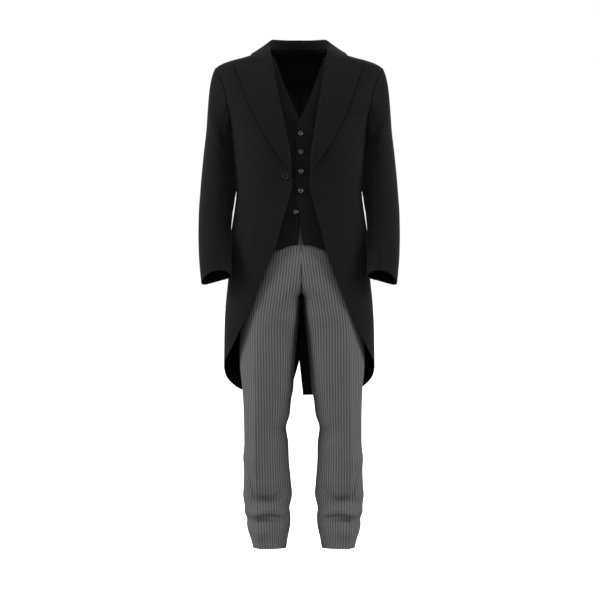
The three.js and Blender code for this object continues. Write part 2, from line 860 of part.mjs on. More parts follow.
function waistcoatBack() {
  const neckRows = 4;
  const centreRows = WAISTCOAT_SIDE_ROWS + WAISTCOAT_ARM_ROWS - neckRows;
  const centre = steps(centreRows, waistcoatHem(180), WAISTCOAT_NAPE).map((height) => [180, height]);
  const neckline = steps(neckRows, 0, 1).map((share) => [
    mix(180, SHOULDER_ANGLE, share),
    mix(WAISTCOAT_NAPE, WAISTCOAT_NECK, share),
  ]);
  const hemAngles = steps(WAISTCOAT_COLUMNS, WAISTCOAT_SIDE_ANGLE, 180);
  return fill({
    bottom: hemAngles.map((angle) => [angle, waistcoatHem(angle)]),
    top: waistcoatShoulder().reverse(),
    left: joined(waistcoatSide(), waistcoatArmBack.map((row) => [row.angle, row.height])),
    right: joined(centre, neckline),
  });
}

// Trousers: an oval round each leg, 0 at the outside, 90 at the front crease, 180 at the inside

const CENTRE_CLEARANCE = 0.5;
const FORK = -745;
const TROUSER_TOP = -520;
const WAISTBAND_TOP = -482;
const HEM = -1486;
const LEG_COLUMNS = 8;

// Distances from the centre line; above the fork the two ovals overlap and are cut at the centre.
const leg = table(['height', 'outer', 'inner', 'front', 'back', 'toe'], [
  [-480, 164, -164, 100, 96.3, 0],
  [TROUSER_TOP, 166, -166, 100, 97.6, 0],
  [-550, 170, -150, 101, 102, 3],
  [-600, 176, -112, 102, 110, 9],
  [-650, 180, -72, 108, 117, 15],
  [-690, 182.5, -38, 106, 120, 18],
  [-720, 183.5, -15, 105, 118, 20],
  [FORK, 184, 1, 103, 114, 21],
  [-790, 184, 6, 100, 109, 22],
  [-845, 183, 13, 98, 105, 22],
  [-910, 183.5, 20, 97, 101, 22],
  [-954, 182, 24, 96, 98, 22],
  [-1019, 176, 28, 92, 94, 21],
  [-1049, 174.3, 34, 91, 92, 21],
  [-1090, 173, 37.5, 89, 90, 20.5],
  [-1131, 172.6, 46.5, 87, 88, 20.5],
  [-1172, 172.5, 43.7, 85, 86, 21],
  [-1226, 174.5, 42.5, 82, 82, 23],
  [-1276, 174.5, 38.7, 80, 79, 25],
  [-1314, 174, 37.5, 78, 78, 25],
  [-1370, 174, 37.5, 77, 78, 25],
  [-1413, 168.5, 40, 77, 78, 24],
  [-1454, 157, 48, 78, 78, 22],
  [HEM, 149, 53, 80, 78, 21],
]);
const legCurve = Object.fromEntries(['outer', 'inner', 'front', 'back', 'toe']
  .map((column) => [column, curve(leg, 'height', column)]));

const CREASE_SPREAD = 14;
const creaseSize = curve(table(['height', 'size'], [
  [-560, 0],
  [-690, 4],
  [-800, 9],
  [-1230, 10],
  [-1320, 5],
  [HEM, 6],
]), 'height', 'size');

// Folds where the trousers break over the foot, and at the knee.
const legFolds = table(['place', 'turn', 'reach', 'length', 'spread'], [
  [-1140, 175, -5, 26, 50],
  [-1215, 60, 4, 24, 40],
  [-1295, 95, 8, 22, 55],
  [-1350, 100, -9, 17, 60],
  [-1382, 90, 7, 14, 60],
  [-1406, 95, -9, 12, 65],
  [-1440, 90, 5, 16, 60],
  [-1330, 20, 5, 26, 40],
  [-1375, 0, -5, 18, 45],
  [-1330, 200, 4, 24, 45],
  [-1370, 215, -5, 18, 45],
]);

const HEM_SLANT = { starts: -1340, front: 11, back: -12 };

function legSurface(turn, height) {
  const middle = (legCurve.outer(height) + legCurve.inner(height)) / 2;
  const halfWidth = (legCurve.outer(height) - legCurve.inner(height)) / 2;
  const [sine, cosine] = [Math.sin(turn * DEGREE), Math.cos(turn * DEGREE)];
  const toe = legCurve.toe(height) * DEGREE;
  const front = legCurve.front(height);
  const back = legCurve.back(height);
  const across = Math.sqrt(halfWidth ** 2 - (((front + back) / 2) * Math.sin(toe)) ** 2) / Math.cos(toe);
  const fromCrease = Math.abs(Math.abs(((turn + 540) % 360) - 180) - 90);
  const ridge = creaseSize(height) * Math.exp(-fromCrease / CREASE_SPREAD);
  const fold = folded(legFolds, height, turn);
  const sideways = (across + fold) * cosine;
  const forward = ((sine > 0 ? front : back) + fold) * sine + Math.sign(sine) * ridge;
  const slant = sine > 0 ? HEM_SLANT.front * sine : -HEM_SLANT.back * sine;
  return new THREE.Vector3(
    middle + sideways * Math.cos(toe) + forward * Math.sin(toe),
    sideways * Math.sin(toe) - forward * Math.cos(toe),
    height + slant * ease((height - HEM_SLANT.starts) / (HEM - HEM_SLANT.starts)),
  );
}

// The same surface read downwards, so that its outward side is the outside of the leg.
function legWall(turn, drop) {
  return legSurface(turn, -drop);
}

// The turn at which a leg reaches the centre line, in front (1) or behind (-1).
function centreTurn(height, towards) {
  if (height <= FORK) return 180 * towards;
  let [outside, inside] = [0, 180];
  for (let round = 0; round < 40; round += 1) {
    const turn = (outside + inside) / 2;
    if (legSurface(turn * towards, height).x > CENTRE_CLEARANCE) outside = turn;
    else inside = turn;
  }
  return outside * towards;
}

const legRows = [
  ...steps(6, TROUSER_TOP, FORK),
  ...steps(7, FORK, -1190).slice(1),
  ...steps(14, -1190, HEM).slice(1),
];

const CREASE_PLACED = -700;
const CREASE_FREE = -560;

// Columns from the centre line or inseam, over the crease, to the outseam.
function trouserPanel(towards) {
  const half = LEG_COLUMNS / 2;
  const places = legRows.map((height) => {
    const start = centreTurn(height, towards);
    const free = ease((height - CREASE_PLACED) / (CREASE_FREE - CREASE_PLACED));
    const crest = mix(90 * towards, start / 2, free);
    const turns = [...steps(half, start, crest), ...steps(half, crest, 0).slice(1)];
    return turns.map((turn) => [turn, -height]);
  });
  return towards > 0 ? places.map((line) => [...line].reverse()) : places;
}

const WAISTBAND_COLUMNS = 12;

function waistband() {
  return [WAISTBAND_TOP, TROUSER_TOP].map((height) => {
    const turns = steps(WAISTBAND_COLUMNS, centreTurn(height, -1), centreTurn(height, 1));
    return turns.map((turn) => [turn, -height]);
  });
}

// Trouser walls stop short of the centre line, whatever way they face there.
function trouserPlace(side) {
  const put = worn(side, TROUSER_LEAN);
  const closest = 0.2;
  return (point) => put(point.clone().setX(Math.max(point.x, closest)));
}

function trouserPiece(name, side, places, seams) {
  const grid = standBack(lay(legWall, places), seams, SEAM_STANDOFF);
  return clothWall(name, materials.trousers, grid, TROUSER_CLOTH, trouserPlace(side), side === RIGHT);
}

// Buttons

const BUTTON_SIDES = 12;

// A round button with a raised rim, lying on a surface at one place.
function button(name, material, { diameter, thickness, shank }, surface, place, ply, side, lean) {
  const radius = diameter / 2;
  const profile = [
    [0, 0],
    [radius * 0.8, 0],
    [radius, thickness * 0.45],
    [radius * 0.9, thickness],
    [radius * 0.62, thickness * 0.72],
    [0, thickness * 0.72],
  ].map(([x, y]) => new THREE.Vector2(x, y));
  const geometry = new THREE.LatheGeometry(profile, BUTTON_SIDES);
  const mesh = new THREE.Mesh(geometry, material);
  const put = worn(side, lean);
  const normal = outward(surface, ...place);
  const seat = surface(...place).addScaledVector(normal, ply / 2 + TOUCHING_GAP + shank);
  mesh.position.copy(put(seat));
  const facing = new THREE.Vector3(side * normal.x, normal.y, normal.z);
  mesh.quaternion.setFromUnitVectors(new THREE.Vector3(0, 1, 0), facing);
  mesh.name = name;
  return mesh;
}

const coatButtonSize = { diameter: 21, thickness: 4.5, shank: 0.3 };
const backButtonSize = { diameter: 20, thickness: 4.5, shank: 0.9 };
const waistcoatButtonSize = { diameter: 14.5, thickness: 4, shank: 0 };
const FRONT_BUTTON = { offset: 38.5, height: -397 };
const BACK_BUTTON = { angle: 166, height: -449 };

const waistcoatButtons = table(['height', 'offset', 'side'], [
  [-276, 2, LEFT],
  [-328, 2, LEFT],
  [-383, 1.5, LEFT],
  [-439, 1, LEFT],
  [-499, 15, RIGHT],
]);

// Assembly

const group = new THREE.Group();

for (const [word, side] of [['left', LEFT], ['right', RIGHT]]) {
  const coatPanel = (name, ...rest) => {
    return panel(`coat_${name}_${word}`, materials.coat, side, COAT_LEAN, COAT_CLOTH, ...rest);
  };
  group.add(coatPanel('forepart', coatSurface, forepart(side), ['bottom', 'top', 'right']));
  group.add(coatPanel('sidebody', coatSurface, sidebody(), ['bottom', 'left', 'right']));
  group.add(coatPanel('back', coatSurface, coatBack(side), ['top', 'left', 'right']));
  group.add(coatPanel('skirt', coatSurface, skirt(side), ['top', 'right']));
  group.add(coatPanel('top_sleeve', sleeveSurface, sleevePanel(TOP_SLEEVE_TURNS), ['left', 'right']));
  group.add(coatPanel('under_sleeve', sleeveSurface, sleevePanel(UNDER_SLEEVE_TURNS), ['left', 'right']));
  group.add(panel(`coat_lapel_${word}`, materials.coat, side, COAT_LEAN, LAPEL_CLOTH, coatSurface,
    lapel(side), ['top'], lapelLift));
  group.add(panel(`waistcoat_front_${word}`, materials.waistcoat, side, TROUSER_LEAN, WAISTCOAT_CLOTH,
    waistcoatSurface[side], waistcoatFront(side), ['top', 'right']));
  group.add(panel(`waistcoat_back_${word}`, materials.waistcoat, side, TROUSER_LEAN, WAISTCOAT_CLOTH,
    waistcoatSurface[LEFT], waistcoatBack(), ['top', 'left', 'right']));
  group.add(trouserPiece(`trouser_front_${word}`, side, trouserPanel(1), ['left', 'right', 'bottom']));
  group.add(trouserPiece(`trouser_back_${word}`, side, trouserPanel(-1), ['left', 'right', 'bottom']));
  group.add(trouserPiece(`trouser_waistband_${word}`, side, waistband(), ['left', 'right', 'top']));
  group.add(button(`coat_button_back_${word}`, materials.coatButton, backButtonSize, coatSurface,
    [BACK_BUTTON.angle, BACK_BUTTON.height], COAT_CLOTH, side, COAT_LEAN));
}

group.add(clothWall('coat_collar', materials.coat, collar(), COAT_CLOTH, worn(LEFT, COAT_LEAN)));
const weltLift = (COAT_CLOTH + WELT_CLOTH) / 2 + WELT_GAP;
group.add(panel('coat_breast_welt', materials.coat, LEFT, COAT_LEAN, WELT_CLOTH, coatSurface,
  breastWelt(), [], () => weltLift));
const frontButtonAngle = frontAngle(FRONT_BUTTON.offset, FRONT_BUTTON.height);
group.add(button('coat_button_front', materials.coatButton, coatButtonSize, coatSurface,
  [frontButtonAngle, FRONT_BUTTON.height], COAT_CLOTH, RIGHT, COAT_LEAN));

waistcoatButtons.forEach(({ height, offset, side }, index) => {
  const place = [frontAngle(offset, height, waistcoatInset(height)), height];
  group.add(button(`waistcoat_button_${index + 1}`, materials.waistcoatButton, waistcoatButtonSize,
    waistcoatSurface[side], place, WAISTCOAT_CLOTH, side, TROUSER_LEAN));
});

export default group;
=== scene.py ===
"""Morning suit: the tailcoat, the waistcoat and the striped trousers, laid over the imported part.

The tables are a cutter's draft in millimetres, and MM turns them into metres.
+X is the suit's left, +Y its back and +Z up. Angles are in degrees: 0 in front, 90 at the side, 180 behind.
"""

import math
from functools import partial

import bmesh
import bpy
import numpy as np
from bpy.props import FloatProperty, FloatVectorProperty, PointerProperty
from bpy.types import Operator, Panel, PropertyGroup
from mathutils import Matrix, Vector


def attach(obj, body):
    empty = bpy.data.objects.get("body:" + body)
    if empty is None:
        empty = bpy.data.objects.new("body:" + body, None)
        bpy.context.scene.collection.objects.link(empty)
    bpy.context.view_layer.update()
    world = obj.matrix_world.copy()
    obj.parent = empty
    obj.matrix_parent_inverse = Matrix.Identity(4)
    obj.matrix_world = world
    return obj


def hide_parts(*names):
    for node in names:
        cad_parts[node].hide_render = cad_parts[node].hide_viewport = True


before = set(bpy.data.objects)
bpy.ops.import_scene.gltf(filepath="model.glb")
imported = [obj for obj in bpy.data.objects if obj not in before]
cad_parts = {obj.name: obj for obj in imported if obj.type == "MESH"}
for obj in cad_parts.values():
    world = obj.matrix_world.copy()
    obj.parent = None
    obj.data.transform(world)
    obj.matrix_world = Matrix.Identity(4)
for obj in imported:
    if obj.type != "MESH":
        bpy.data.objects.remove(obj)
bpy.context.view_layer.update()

bl_info = {
    "name": "Morning suit",
    "version": (1, 0, 0),
    "blender": (4, 5, 0),
    "location": "View3D > Sidebar > Suit",
    "description": "Makes a morning coat, a waistcoat and striped trousers as worn",
    "category": "Add Mesh",
}

length = partial(FloatProperty, unit="LENGTH")
tint = partial(FloatVectorProperty, subtype="COLOR")

MM = 0.001
LEFT = 1
RIGHT = -1
SIDES = (("left", LEFT), ("right", RIGHT))
LEAN = {"coat": 0.001, "waistcoat": 0.01, "trouser": 0.01}
NEAREST_CENTRE = {"coat": -math.inf, "waistcoat": -math.inf, "trouser": 0.2}
HELD_UP = ["wearer_shoulders"]
FINE = 12
SEAM_LINES = (1.3, 3.2)
RIM_STEPS = 4
NORMAL_STEP = 0.4
CUT = "cut"
MARK = "x0 z0 x1 z1 bow width depth"
FOLD = "place turn reach length spread"


# Tables and the curves read from them

def table(columns, rows):
    """The named columns of a table."""
    return dict(zip(columns.split(), np.array(rows, float).T))


def bridge(start, rise, pull_start, pull_end, t):
    """A cubic that rises from its start, with a pull at each end."""
    square = 3 * rise - 2 * pull_start - pull_end
    return start + t * (pull_start + t * (square + t * (pull_start + pull_end - 2 * rise)))


def curve(rows, given, wanted):
    """Reads one column of a table from another, smoothly and never past its rows."""
    order = np.argsort(rows[given])
    x, y = rows[given][order], rows[wanted][order]
    width, rise = np.diff(x), np.diff(y)
    slope = rise / width
    tangent = np.zeros_like(x)
    tangent[0], tangent[-1] = slope[0], slope[-1]
    for i in range(1, len(x) - 1):
        before, after = width[i - 1], width[i]
        if slope[i - 1] * slope[i] > 0:
            weighted = (2 * after + before) / slope[i - 1] + (after + 2 * before) / slope[i]
            tangent[i] = 3 * (before + after) / weighted

    def read(at):
        at = np.clip(at, x[0], x[-1])
        i = np.clip(np.searchsorted(x, at, side="right") - 1, 0, len(x) - 2)
        t = (at - x[i]) / width[i]
        return bridge(y[i], rise[i], tangent[i] * width[i], tangent[i + 1] * width[i], t)

    return read


def curves(rows, given):
    """A curve over one column for each of the others, in their order."""
    return [curve(rows, given, wanted) for wanted in rows if wanted != given]


def graph(columns, rows):
    """The curve of a table's second column over its first."""
    return curve(table(columns, rows), *columns.split())


def mix(start, end, share):
    return start + (end - start) * share


def ease(value, start=0, over=1):
    """0 up to the start, 1 from that much over it and smooth between."""
    t = np.clip((value - start) / over, 0, 1)
    return t * t * (3 - 2 * t)


def signed_power(value, power):
    return np.sign(value) * np.abs(value) ** power


def unit(vectors):
    return vectors / np.maximum(np.linalg.norm(vectors, axis=-1, keepdims=True), 1e-9)


def sine_cosine(degrees):
    return np.sin(np.radians(degrees)), np.cos(np.radians(degrees))


# Edges and grids of places, each place an (across, along) pair on a surface

def span(start, end, steps):
    """Even values from start to end, with FINE of them to a step."""
    return mix(start, end, np.linspace(0, 1, steps * FINE + 1))


def line(across, along):
    return np.stack(np.broadcast_arrays(across, along), axis=-1)


def straight(start, end, steps):
    """A line from one place to another."""
    return line(*(span(first, last, steps) for first, last in zip(start, end)))


def rising(low, high, steps, across_at):
    """A line from one height to another, across where the height says."""
    heights = span(low, high, steps)
    return line(across_at(heights), heights)


def rounding(first, last, steps, height_at):
    """A line from one angle to another, as high as the angle says."""
    angles = span(first, last, steps)
    return line(angles, height_at(angles))


def joined(*lines):
    return np.concatenate([lines[0], *[line[1:] for line in lines[1:]]])


def shares(count, size):
    """Even shares from 0 to 1, with closer ones at the ends of a panel of that size."""
    near = np.array(SEAM_LINES) / size
    return np.unique(np.concatenate([np.linspace(0, 1, count + 1), near, 1 - near]))


def fill(grid, bottom, top, left, right):
    """A grid of places between four edges."""
    columns, width, rows, length = grid
    across, along = shares(columns, width), shares(rows, length)

    def read(edge, at):
        own = np.linspace(0, 1, len(edge))
        return np.stack([np.interp(at, own, edge[:, axis]) for axis in (0, 1)], axis=-1)

    low, high = read(bottom, across), read(top, across)
    first, last = read(left, along)[:, None], read(right, along)[:, None]
    u, v = across[None, :, None], along[:, None, None]
    ruled = mix(low, high, v) + mix(first, last, u)
    return ruled - mix(mix(bottom[0], bottom[-1], u), mix(top[0], top[-1], u), v)


def outward(surface, across, along):
    """The outward direction of a surface."""
    sideways = surface(across + NORMAL_STEP, along) - surface(across - NORMAL_STEP, along)
    lengthways = surface(across, along + NORMAL_STEP) - surface(across, along - NORMAL_STEP)
    return unit(np.cross(sideways, lengthways))


def directed(points):
    """The outward directions of a grid of points, from their neighbours."""
    return unit(np.cross(np.gradient(points, axis=1), np.gradient(points, axis=0)))


def lay(surface, places):
    """The points and outward directions of a grid of places."""
    across, along = places[..., 0], places[..., 1]
    return surface(across, along), outward(surface, across, along)


def run_lengths(points, axis):
    """How far each point lies along its row (axis 1) or column (axis 0)."""
    gaps = np.linalg.norm(np.diff(points, axis=axis), axis=-1)
    start = [(0, 0), (0, 0)]
    start[axis] = (1, 0)
    return np.pad(np.cumsum(gaps, axis=axis), start)


def cut_places(points, thread=None):
    """Where each point lies in the flat cut: from a lengthwise thread, and along the panel.

    The thread gives its x at each height. Without one it is the panel's middle column.
    """
    across = run_lengths(points, 1)
    middle = points.shape[1] // 2
    start = across[:, middle]
    if thread is not None:
        order = slice(None, None, 1 if points[0, 0, 0] < points[0, -1, 0] else -1)
        wanted = thread(points[:, middle, 2])
        start = [np.interp(x, row[order, 0], s[order]) for x, row, s in zip(wanted, points, across)]
        start = np.array(start)
    along = np.broadcast_to(run_lengths(points, 0)[:, middle:middle + 1], across.shape)
    return np.stack([across - start[:, None], along], axis=-1)


def cut_size(points):
    """The width, length and area of a panel's flat cut, in metres."""
    width, length = run_lengths(points, 1).max(), run_lengths(points, 0).max()
    one = np.cross(points[1:, 1:] - points[:-1, :-1], points[1:, :-1] - points[:-1, 1:])
    area = np.linalg.norm(one, axis=-1).sum() / 2
    return (width * MM, length * MM), min(area, width * length) * MM * MM


def size(name):
    """One of the suit's sizes, in millimetres."""
    return getattr(bpy.context.scene.suit_sizes, name) / MM


def colour(name):
    return getattr(bpy.context.scene.suit_colours, name)


def edge_distances(points):
    """How far each point is from each of the grid's four edges, along the cloth."""
    across, along = run_lengths(points, 1), run_lengths(points, 0)
    return {
        "left": across,
        "right": across[:, -1:] - across,
        "bottom": along,
        "top": along[-1:] - along,
    }


def seam_dip(points, seams):
    """Cloth drawn down into its seams."""
    away = edge_distances(points)
    return -size("seam_depth") * sum(np.exp(-(away[seam] / size("seam_width")) ** 2) for seam in seams)


def stand_back(points, seams, distance):
    """Draws the edges at seams back by half a wall, so that two walls meet."""
    moved = points.copy()
    lines = {
        "left": (np.s_[:, 0], np.s_[:, 1]),
        "right": (np.s_[:, -1], np.s_[:, -2]),
        "bottom": (np.s_[0], np.s_[1]),
        "top": (np.s_[-1], np.s_[-2]),
    }
    for seam in seams:
        border, inner = lines[seam]
        moved[border] += unit(points[inner] - points[border]) * distance
    return moved


def stitching(distances, inset, width, depth):
    """Rows of stitches that draw the cloth down, that far inside its edges."""
    return -depth * sum(np.exp(-((away - inset) / width) ** 2) for away in distances)


def strokes(points, normals, rows, facing):
    """Troughs (below 0) and ridges drawn over cloth that faces the front (-1) or the back (1)."""
    total = np.zeros(points.shape[:2])
    for x0, z0, x1, z1, bow, width, depth in zip(*rows.values()):
        run = np.array([x1 - x0, z1 - z0])
        length = np.linalg.norm(run)
        offset = points[..., [0, 2]] - np.array([x0, z0])
        share = offset @ run / length ** 2
        beside = (run[0] * offset[..., 1] - run[1] * offset[..., 0]) / length
        beside -= bow * 4 * share * (1 - share)
        taper = np.sin(math.pi * np.clip(share, 0, 1)) ** 0.6
        total += depth * np.exp(-(beside / width) ** 2) * taper
    return total * ease(facing * normals[..., 1] * 2)


def folded(folds, place, turn):
    """Folds round a tube: how far they move the cloth at a place along it and a turn round it."""
    total = 0
    for at, middle, reach, length, spread in zip(*folds.values()):
        around = ((turn - middle) % 360 + 180) % 360 - 180
        total = total + reach * np.exp(-((place - at) / length) ** 2 - (around / spread) ** 2)
    return total


# Shells of cloth, for nodes whose names start with the garment and may end with the side

def garment_of(name):
    return name.split("_")[0]


def side_of(name):
    return RIGHT if name.endswith("right") else LEFT


def piece_name(node, kind="cloth"):
    return f"{node}_{kind}"


def worn(points, garment, side):
    """Where points of the half garment at +X lie in the part, in metres."""
    x, y, z = np.maximum(points[..., 0], NEAREST_CENTRE[garment]), points[..., 1], points[..., 2]
    return np.stack([side * x - LEAN[garment] * z, y, z], axis=-1) * MM


def linked(name, data):
    made = bpy.data.objects.new(name, data)
    bpy.context.scene.collection.objects.link(made)
    return made


def new_mesh(name, vertices, faces, finishes, indices=None):
    mesh = bpy.data.meshes.new(name)
    mesh.from_pydata(vertices.tolist(), [], faces.tolist())
    for finish in finishes:
        mesh.materials.append(finish_named(finish))
    if indices is not None:
        mesh.polygons.foreach_set("material_index", indices)
    mesh.polygons.foreach_set("use_smooth", np.ones(len(faces), bool))
    mesh.update()
    return linked(name, mesh)


def set_cut(mesh, cut):
    """Keeps where each vertex lies in the flat cut, for the weave and the stripes."""
    flat = np.zeros((len(mesh.vertices), 3), np.float32)
    flat[:, :2] = cut * MM
    mesh.attributes.new(CUT, "FLOAT_VECTOR", "POINT").data.foreach_set("vector", flat.ravel())


def shell(node, points, normals, thickness, cut, finishes):
    """A closed wall of cloth round a grid of points, with rounded edges."""
    rows, columns = points.shape[:2]
    index = np.arange(rows * columns).reshape(rows, columns)
    rim = np.concatenate([index[0, :-1], index[:-1, -1], index[-1, :0:-1], index[:0:-1, 0]])
    flat_points, flat_normals = points.reshape(-1, 3), normals.reshape(-1, 3)
    flat_cut = cut.reshape(-1, 2)
    half = thickness / 2
    ring, ring_normals = flat_points[rim], flat_normals[rim]
    beyond = unit(np.cross(np.roll(ring, -1, axis=0) - np.roll(ring, 1, axis=0), ring_normals))
    parts = [flat_points + flat_normals * half, flat_points - flat_normals * half]
    cuts = [flat_cut, flat_cut]
    loops = [rim]
    for step in range(1, RIM_STEPS):
        turn = math.pi * step / RIM_STEPS
        loops.append(np.arange(len(rim)) + sum(len(part) for part in parts))
        parts.append(ring + (beyond * math.sin(turn) + ring_normals * math.cos(turn)) * half)
        cuts.append(flat_cut[rim])
    loops.append(rim + rows * columns)
    a, b = index[:-1, :-1].ravel(), index[:-1, 1:].ravel()
    c, d = index[1:, 1:].ravel(), index[1:, :-1].ravel()
    outside = np.stack([a, b, c, d], axis=1)
    inside = np.stack([a, d, c, b], axis=1) + rows * columns
    sides = [
        np.stack([upper, lower, np.roll(lower, -1), np.roll(upper, -1)], axis=1)
        for upper, lower in zip(loops[:-1], loops[1:])
    ]
    faces = np.concatenate([outside, *sides, inside])
    if side_of(node) == RIGHT:
        faces = faces[:, ::-1]
    indices = np.zeros(len(faces), np.int32)
    indices[len(faces) - len(inside):] = len(finishes) - 1
    vertices = worn(np.concatenate(parts), garment_of(node), side_of(node))
    piece = new_mesh(piece_name(node), vertices, faces, finishes, indices)
    set_cut(piece.data, np.concatenate(cuts))
    return piece


def dress(piece, slot, node=None):
    """The piece rides on the suit and stands for its node, if it has one. Its slot is not used."""
    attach(piece, "root")
    if node:
        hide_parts(node)


def cloth_piece(node, points, normals, thickness, finishes, thread=None, held="hung", rests_on=()):
    """One cut panel: its shell, its place in the suit and its flat size."""
    piece = shell(node, points, normals, thickness, cut_places(points, thread), finishes)
    dress(piece, f"{garment_of(node)}_cloth", node)
    flat, area = cut_size(points)


def panel(node, cloth, finishes, laid, seams, reliefs=(), butted=None, **sheet):
    """A sewn panel: sunk at its seams, moved by its reliefs and drawn back where it meets others."""
    points, normals = laid
    relief = sum(reliefs, seam_dip(points, seams))
    thickness = size(cloth)
    points = stand_back(points + normals * relief[..., None], butted or seams, thickness / 2)
    cloth_piece(node, points, normals, thickness, finishes, **sheet)


# Finishes

def socket_of(sockets, key):
    """A node's socket by its identifier or, failing that, by its name."""
    found = [s for s in sockets if s.identifier == key] or [s for s in sockets if s.name == key]
    if not found:
        raise KeyError(f"no socket {key!r}")
    return found[0]


def operation(name, swapped=False):
    """A method that adds a Math node on a wire and another value."""
    def apply(self, other):
        return self.maths(name, other, self) if swapped else self.maths(name, self, other)

    return apply


class Wire:
    """A socket in a finish. Sums and products of wires and numbers add Math nodes."""

    __add__, __radd__ = operation("ADD"), operation("ADD", swapped=True)
    __sub__, __rsub__ = operation("SUBTRACT"), operation("SUBTRACT", swapped=True)
    __mul__, __rmul__ = operation("MULTIPLY"), operation("MULTIPLY", swapped=True)
    __truediv__, __rtruediv__ = operation("DIVIDE"), operation("DIVIDE", swapped=True)

    def __init__(self, finish, socket):
        self.finish = finish
        self.socket = socket

    def __abs__(self):
        return self.maths("ABSOLUTE", self)

    def maths(self, name, first, second=0.0):
        sockets = {"Value": first, "Value_001": second}
        return self.finish.node("ShaderNodeMath", {"operation": name}, sockets)["Value"]


class Outputs:
    """A node's outputs, as wires by identifier or name."""

    def __init__(self, finish, node):
        self.finish = finish
        self.own = node

    def __getitem__(self, key):
        return Wire(self.finish, socket_of(self.own.outputs, key))


class Finish:
    """A procedural material under construction."""

    def __init__(self, name):
        self.material = bpy.data.materials.new(name)
        self.material.use_nodes = True
        self.tree = self.material.node_tree
        self.shader = self.tree.nodes["Principled BSDF"]

    def node(self, kind, settings=None, sockets=None):
        """Any node: its settings first, then the values or links of its sockets."""
        made = self.tree.nodes.new(kind)
        for key, value in (settings or {}).items():
            setattr(made, key, value)
        for key, value in (sockets or {}).items():
            self.join(socket_of(made.inputs, key), value)
        return Outputs(self, made)

    def join(self, socket, value):
        if isinstance(value, Wire):
            self.tree.links.new(value.socket, socket)
        else:
            socket.default_value = value

    def surface(self, **values):
        """Sets the shader's own sockets, by name with _ for a space."""
        for key, value in values.items():
            key = "Specular IOR Level" if key == "Specular" else key.replace("_", " ")
            self.join(self.shader.inputs[key], value)
        return self.material

    def blend(self, factor, first, second):
        """One colour over another."""
        sockets = {"Factor_Float": factor, "A_Color": first, "B_Color": second}
        return self.node("ShaderNodeMix", {"data_type": "RGBA"}, sockets)["Result_Color"]

    def tone(self, factor, colour, first, second):
        """A colour between two shades of itself."""
        return self.blend(factor, shade(colour, first), shade(colour, second))

    def cloth_plane(self):
        """The cut's two coordinates, in metres, and both as one vector."""
        cut = self.node("ShaderNodeAttribute", {"attribute_name": CUT})["Vector"]
        split = self.node("ShaderNodeSeparateXYZ", None, {"Vector": cut})
        return split["X"], split["Y"], cut

    def clouds(self, vector, scale, detail=3.0):
        """Soft noise from 0 to 1."""
        sockets = {"Vector": vector, "Scale": scale, "Detail": detail}
        return self.node("ShaderNodeTexNoise", None, sockets)["Fac"]

    def wave(self, turns):
        """A wave from 0 to 1, once for each whole turn."""
        sine = turns.maths("SINE", turns * math.tau)
        return sine * 0.5 + 0.5

    def band(self, place, centre, half, soft):
        """1 within half of a centre and 0 outside, with soft sides."""
        sockets = {"Value": abs(place - centre), "From Min": half + soft, "From Max": max(half - soft, 0.0)}
        return self.node("ShaderNodeMapRange", {"interpolation_type": "SMOOTHSTEP"}, sockets)["Result"]

    def raised(self, height, distance, strength=1.0):
        """A bump from a height of 0 to 1."""
        sockets = {"Height": height, "Distance": distance, "Strength": strength}
        return self.node("ShaderNodeBump", None, sockets)["Normal"]


def shade(colour, factor=1.0):
    """An opaque colour, that many times as light."""
    return (*(channel * factor for channel in colour[:3]), 1.0)


def herringbone(name, colour, rib, column):
    """Fine black wool: ribs that change direction from column to column, under a soft nap."""
    finish = Finish(name)
    across, along, cut = finish.cloth_plane()
    turn = finish.wave(across / (2 * column))
    lean = finish.band(turn, 1.0, 0.5, 0.06) * 2 - 1
    ribs = finish.wave((along + lean * across) / rib)
    nap = finish.clouds(cut, 900.0)
    cloudy = finish.clouds(cut, 14.0)
    depth = ribs * 0.6 + nap * 0.4
    worsted = finish.tone(depth, colour, 0.72, 1.3)
    return finish.surface(
        Base_Color=finish.blend(cloudy, worsted, shade(colour, 1.05)),
        Roughness=nap * 0.1 + 0.82,
        Specular=0.04,
        Sheen_Weight=0.045,
        Sheen_Roughness=0.4,
        Normal=finish.raised(depth, 0.00022, 0.7),
    )


def satin(name, colour):
    """Lining: a close twill with a soft shine."""
    finish = Finish(name)
    across, along, cut = finish.cloth_plane()
    twill = finish.wave((across * 0.5 + along) / 0.0007)
    ripple = finish.clouds(cut, 35.0)
    return finish.surface(
        Base_Color=finish.tone(ripple, colour, 0.8, 1.2),
        Roughness=ripple * 0.12 + 0.46,
        Specular=0.09,
        Normal=finish.raised(twill * 0.4 + ripple * 0.6, 0.0003, 0.5),
    )


def striped(name, ground, dark_stripe, light_stripe, repeat):
    """Trouser worsted: a light and a dark thread stripe on grey, in a fine twill."""
    finish = Finish(name)
    across, along, cut = finish.cloth_plane()
    turns = across / repeat
    place = turns - turns.maths("FLOOR", turns)
    dark = finish.band(place, 0.28, 0.13, 0.06)
    light = finish.band(place, 0.78, 0.09, 0.05)
    twill = finish.wave((across * 0.8 + along) / 0.0013)
    fibre = finish.clouds(cut, 700.0)
    slub_place = finish.node("ShaderNodeVectorMath", {"operation": "MULTIPLY"},
                             {"Vector": cut, "Vector_001": (420.0, 9.0, 1.0)})["Vector"]
    slub = finish.clouds(slub_place, 1.0)
    thread = twill * 0.45 + fibre * 0.3 + slub * 0.25
    woven = finish.tone(thread, ground, 0.72, 1.3)
    with_dark = finish.blend(dark * 0.85, woven, shade(dark_stripe))
    return finish.surface(
        Base_Color=finish.blend(light * (0.55 + slub * 0.4), with_dark, shade(light_stripe)),
        Roughness=fibre * 0.1 + 0.78,
        Specular=0.12,
        Normal=finish.raised(thread, 0.00022, 0.6),
    )


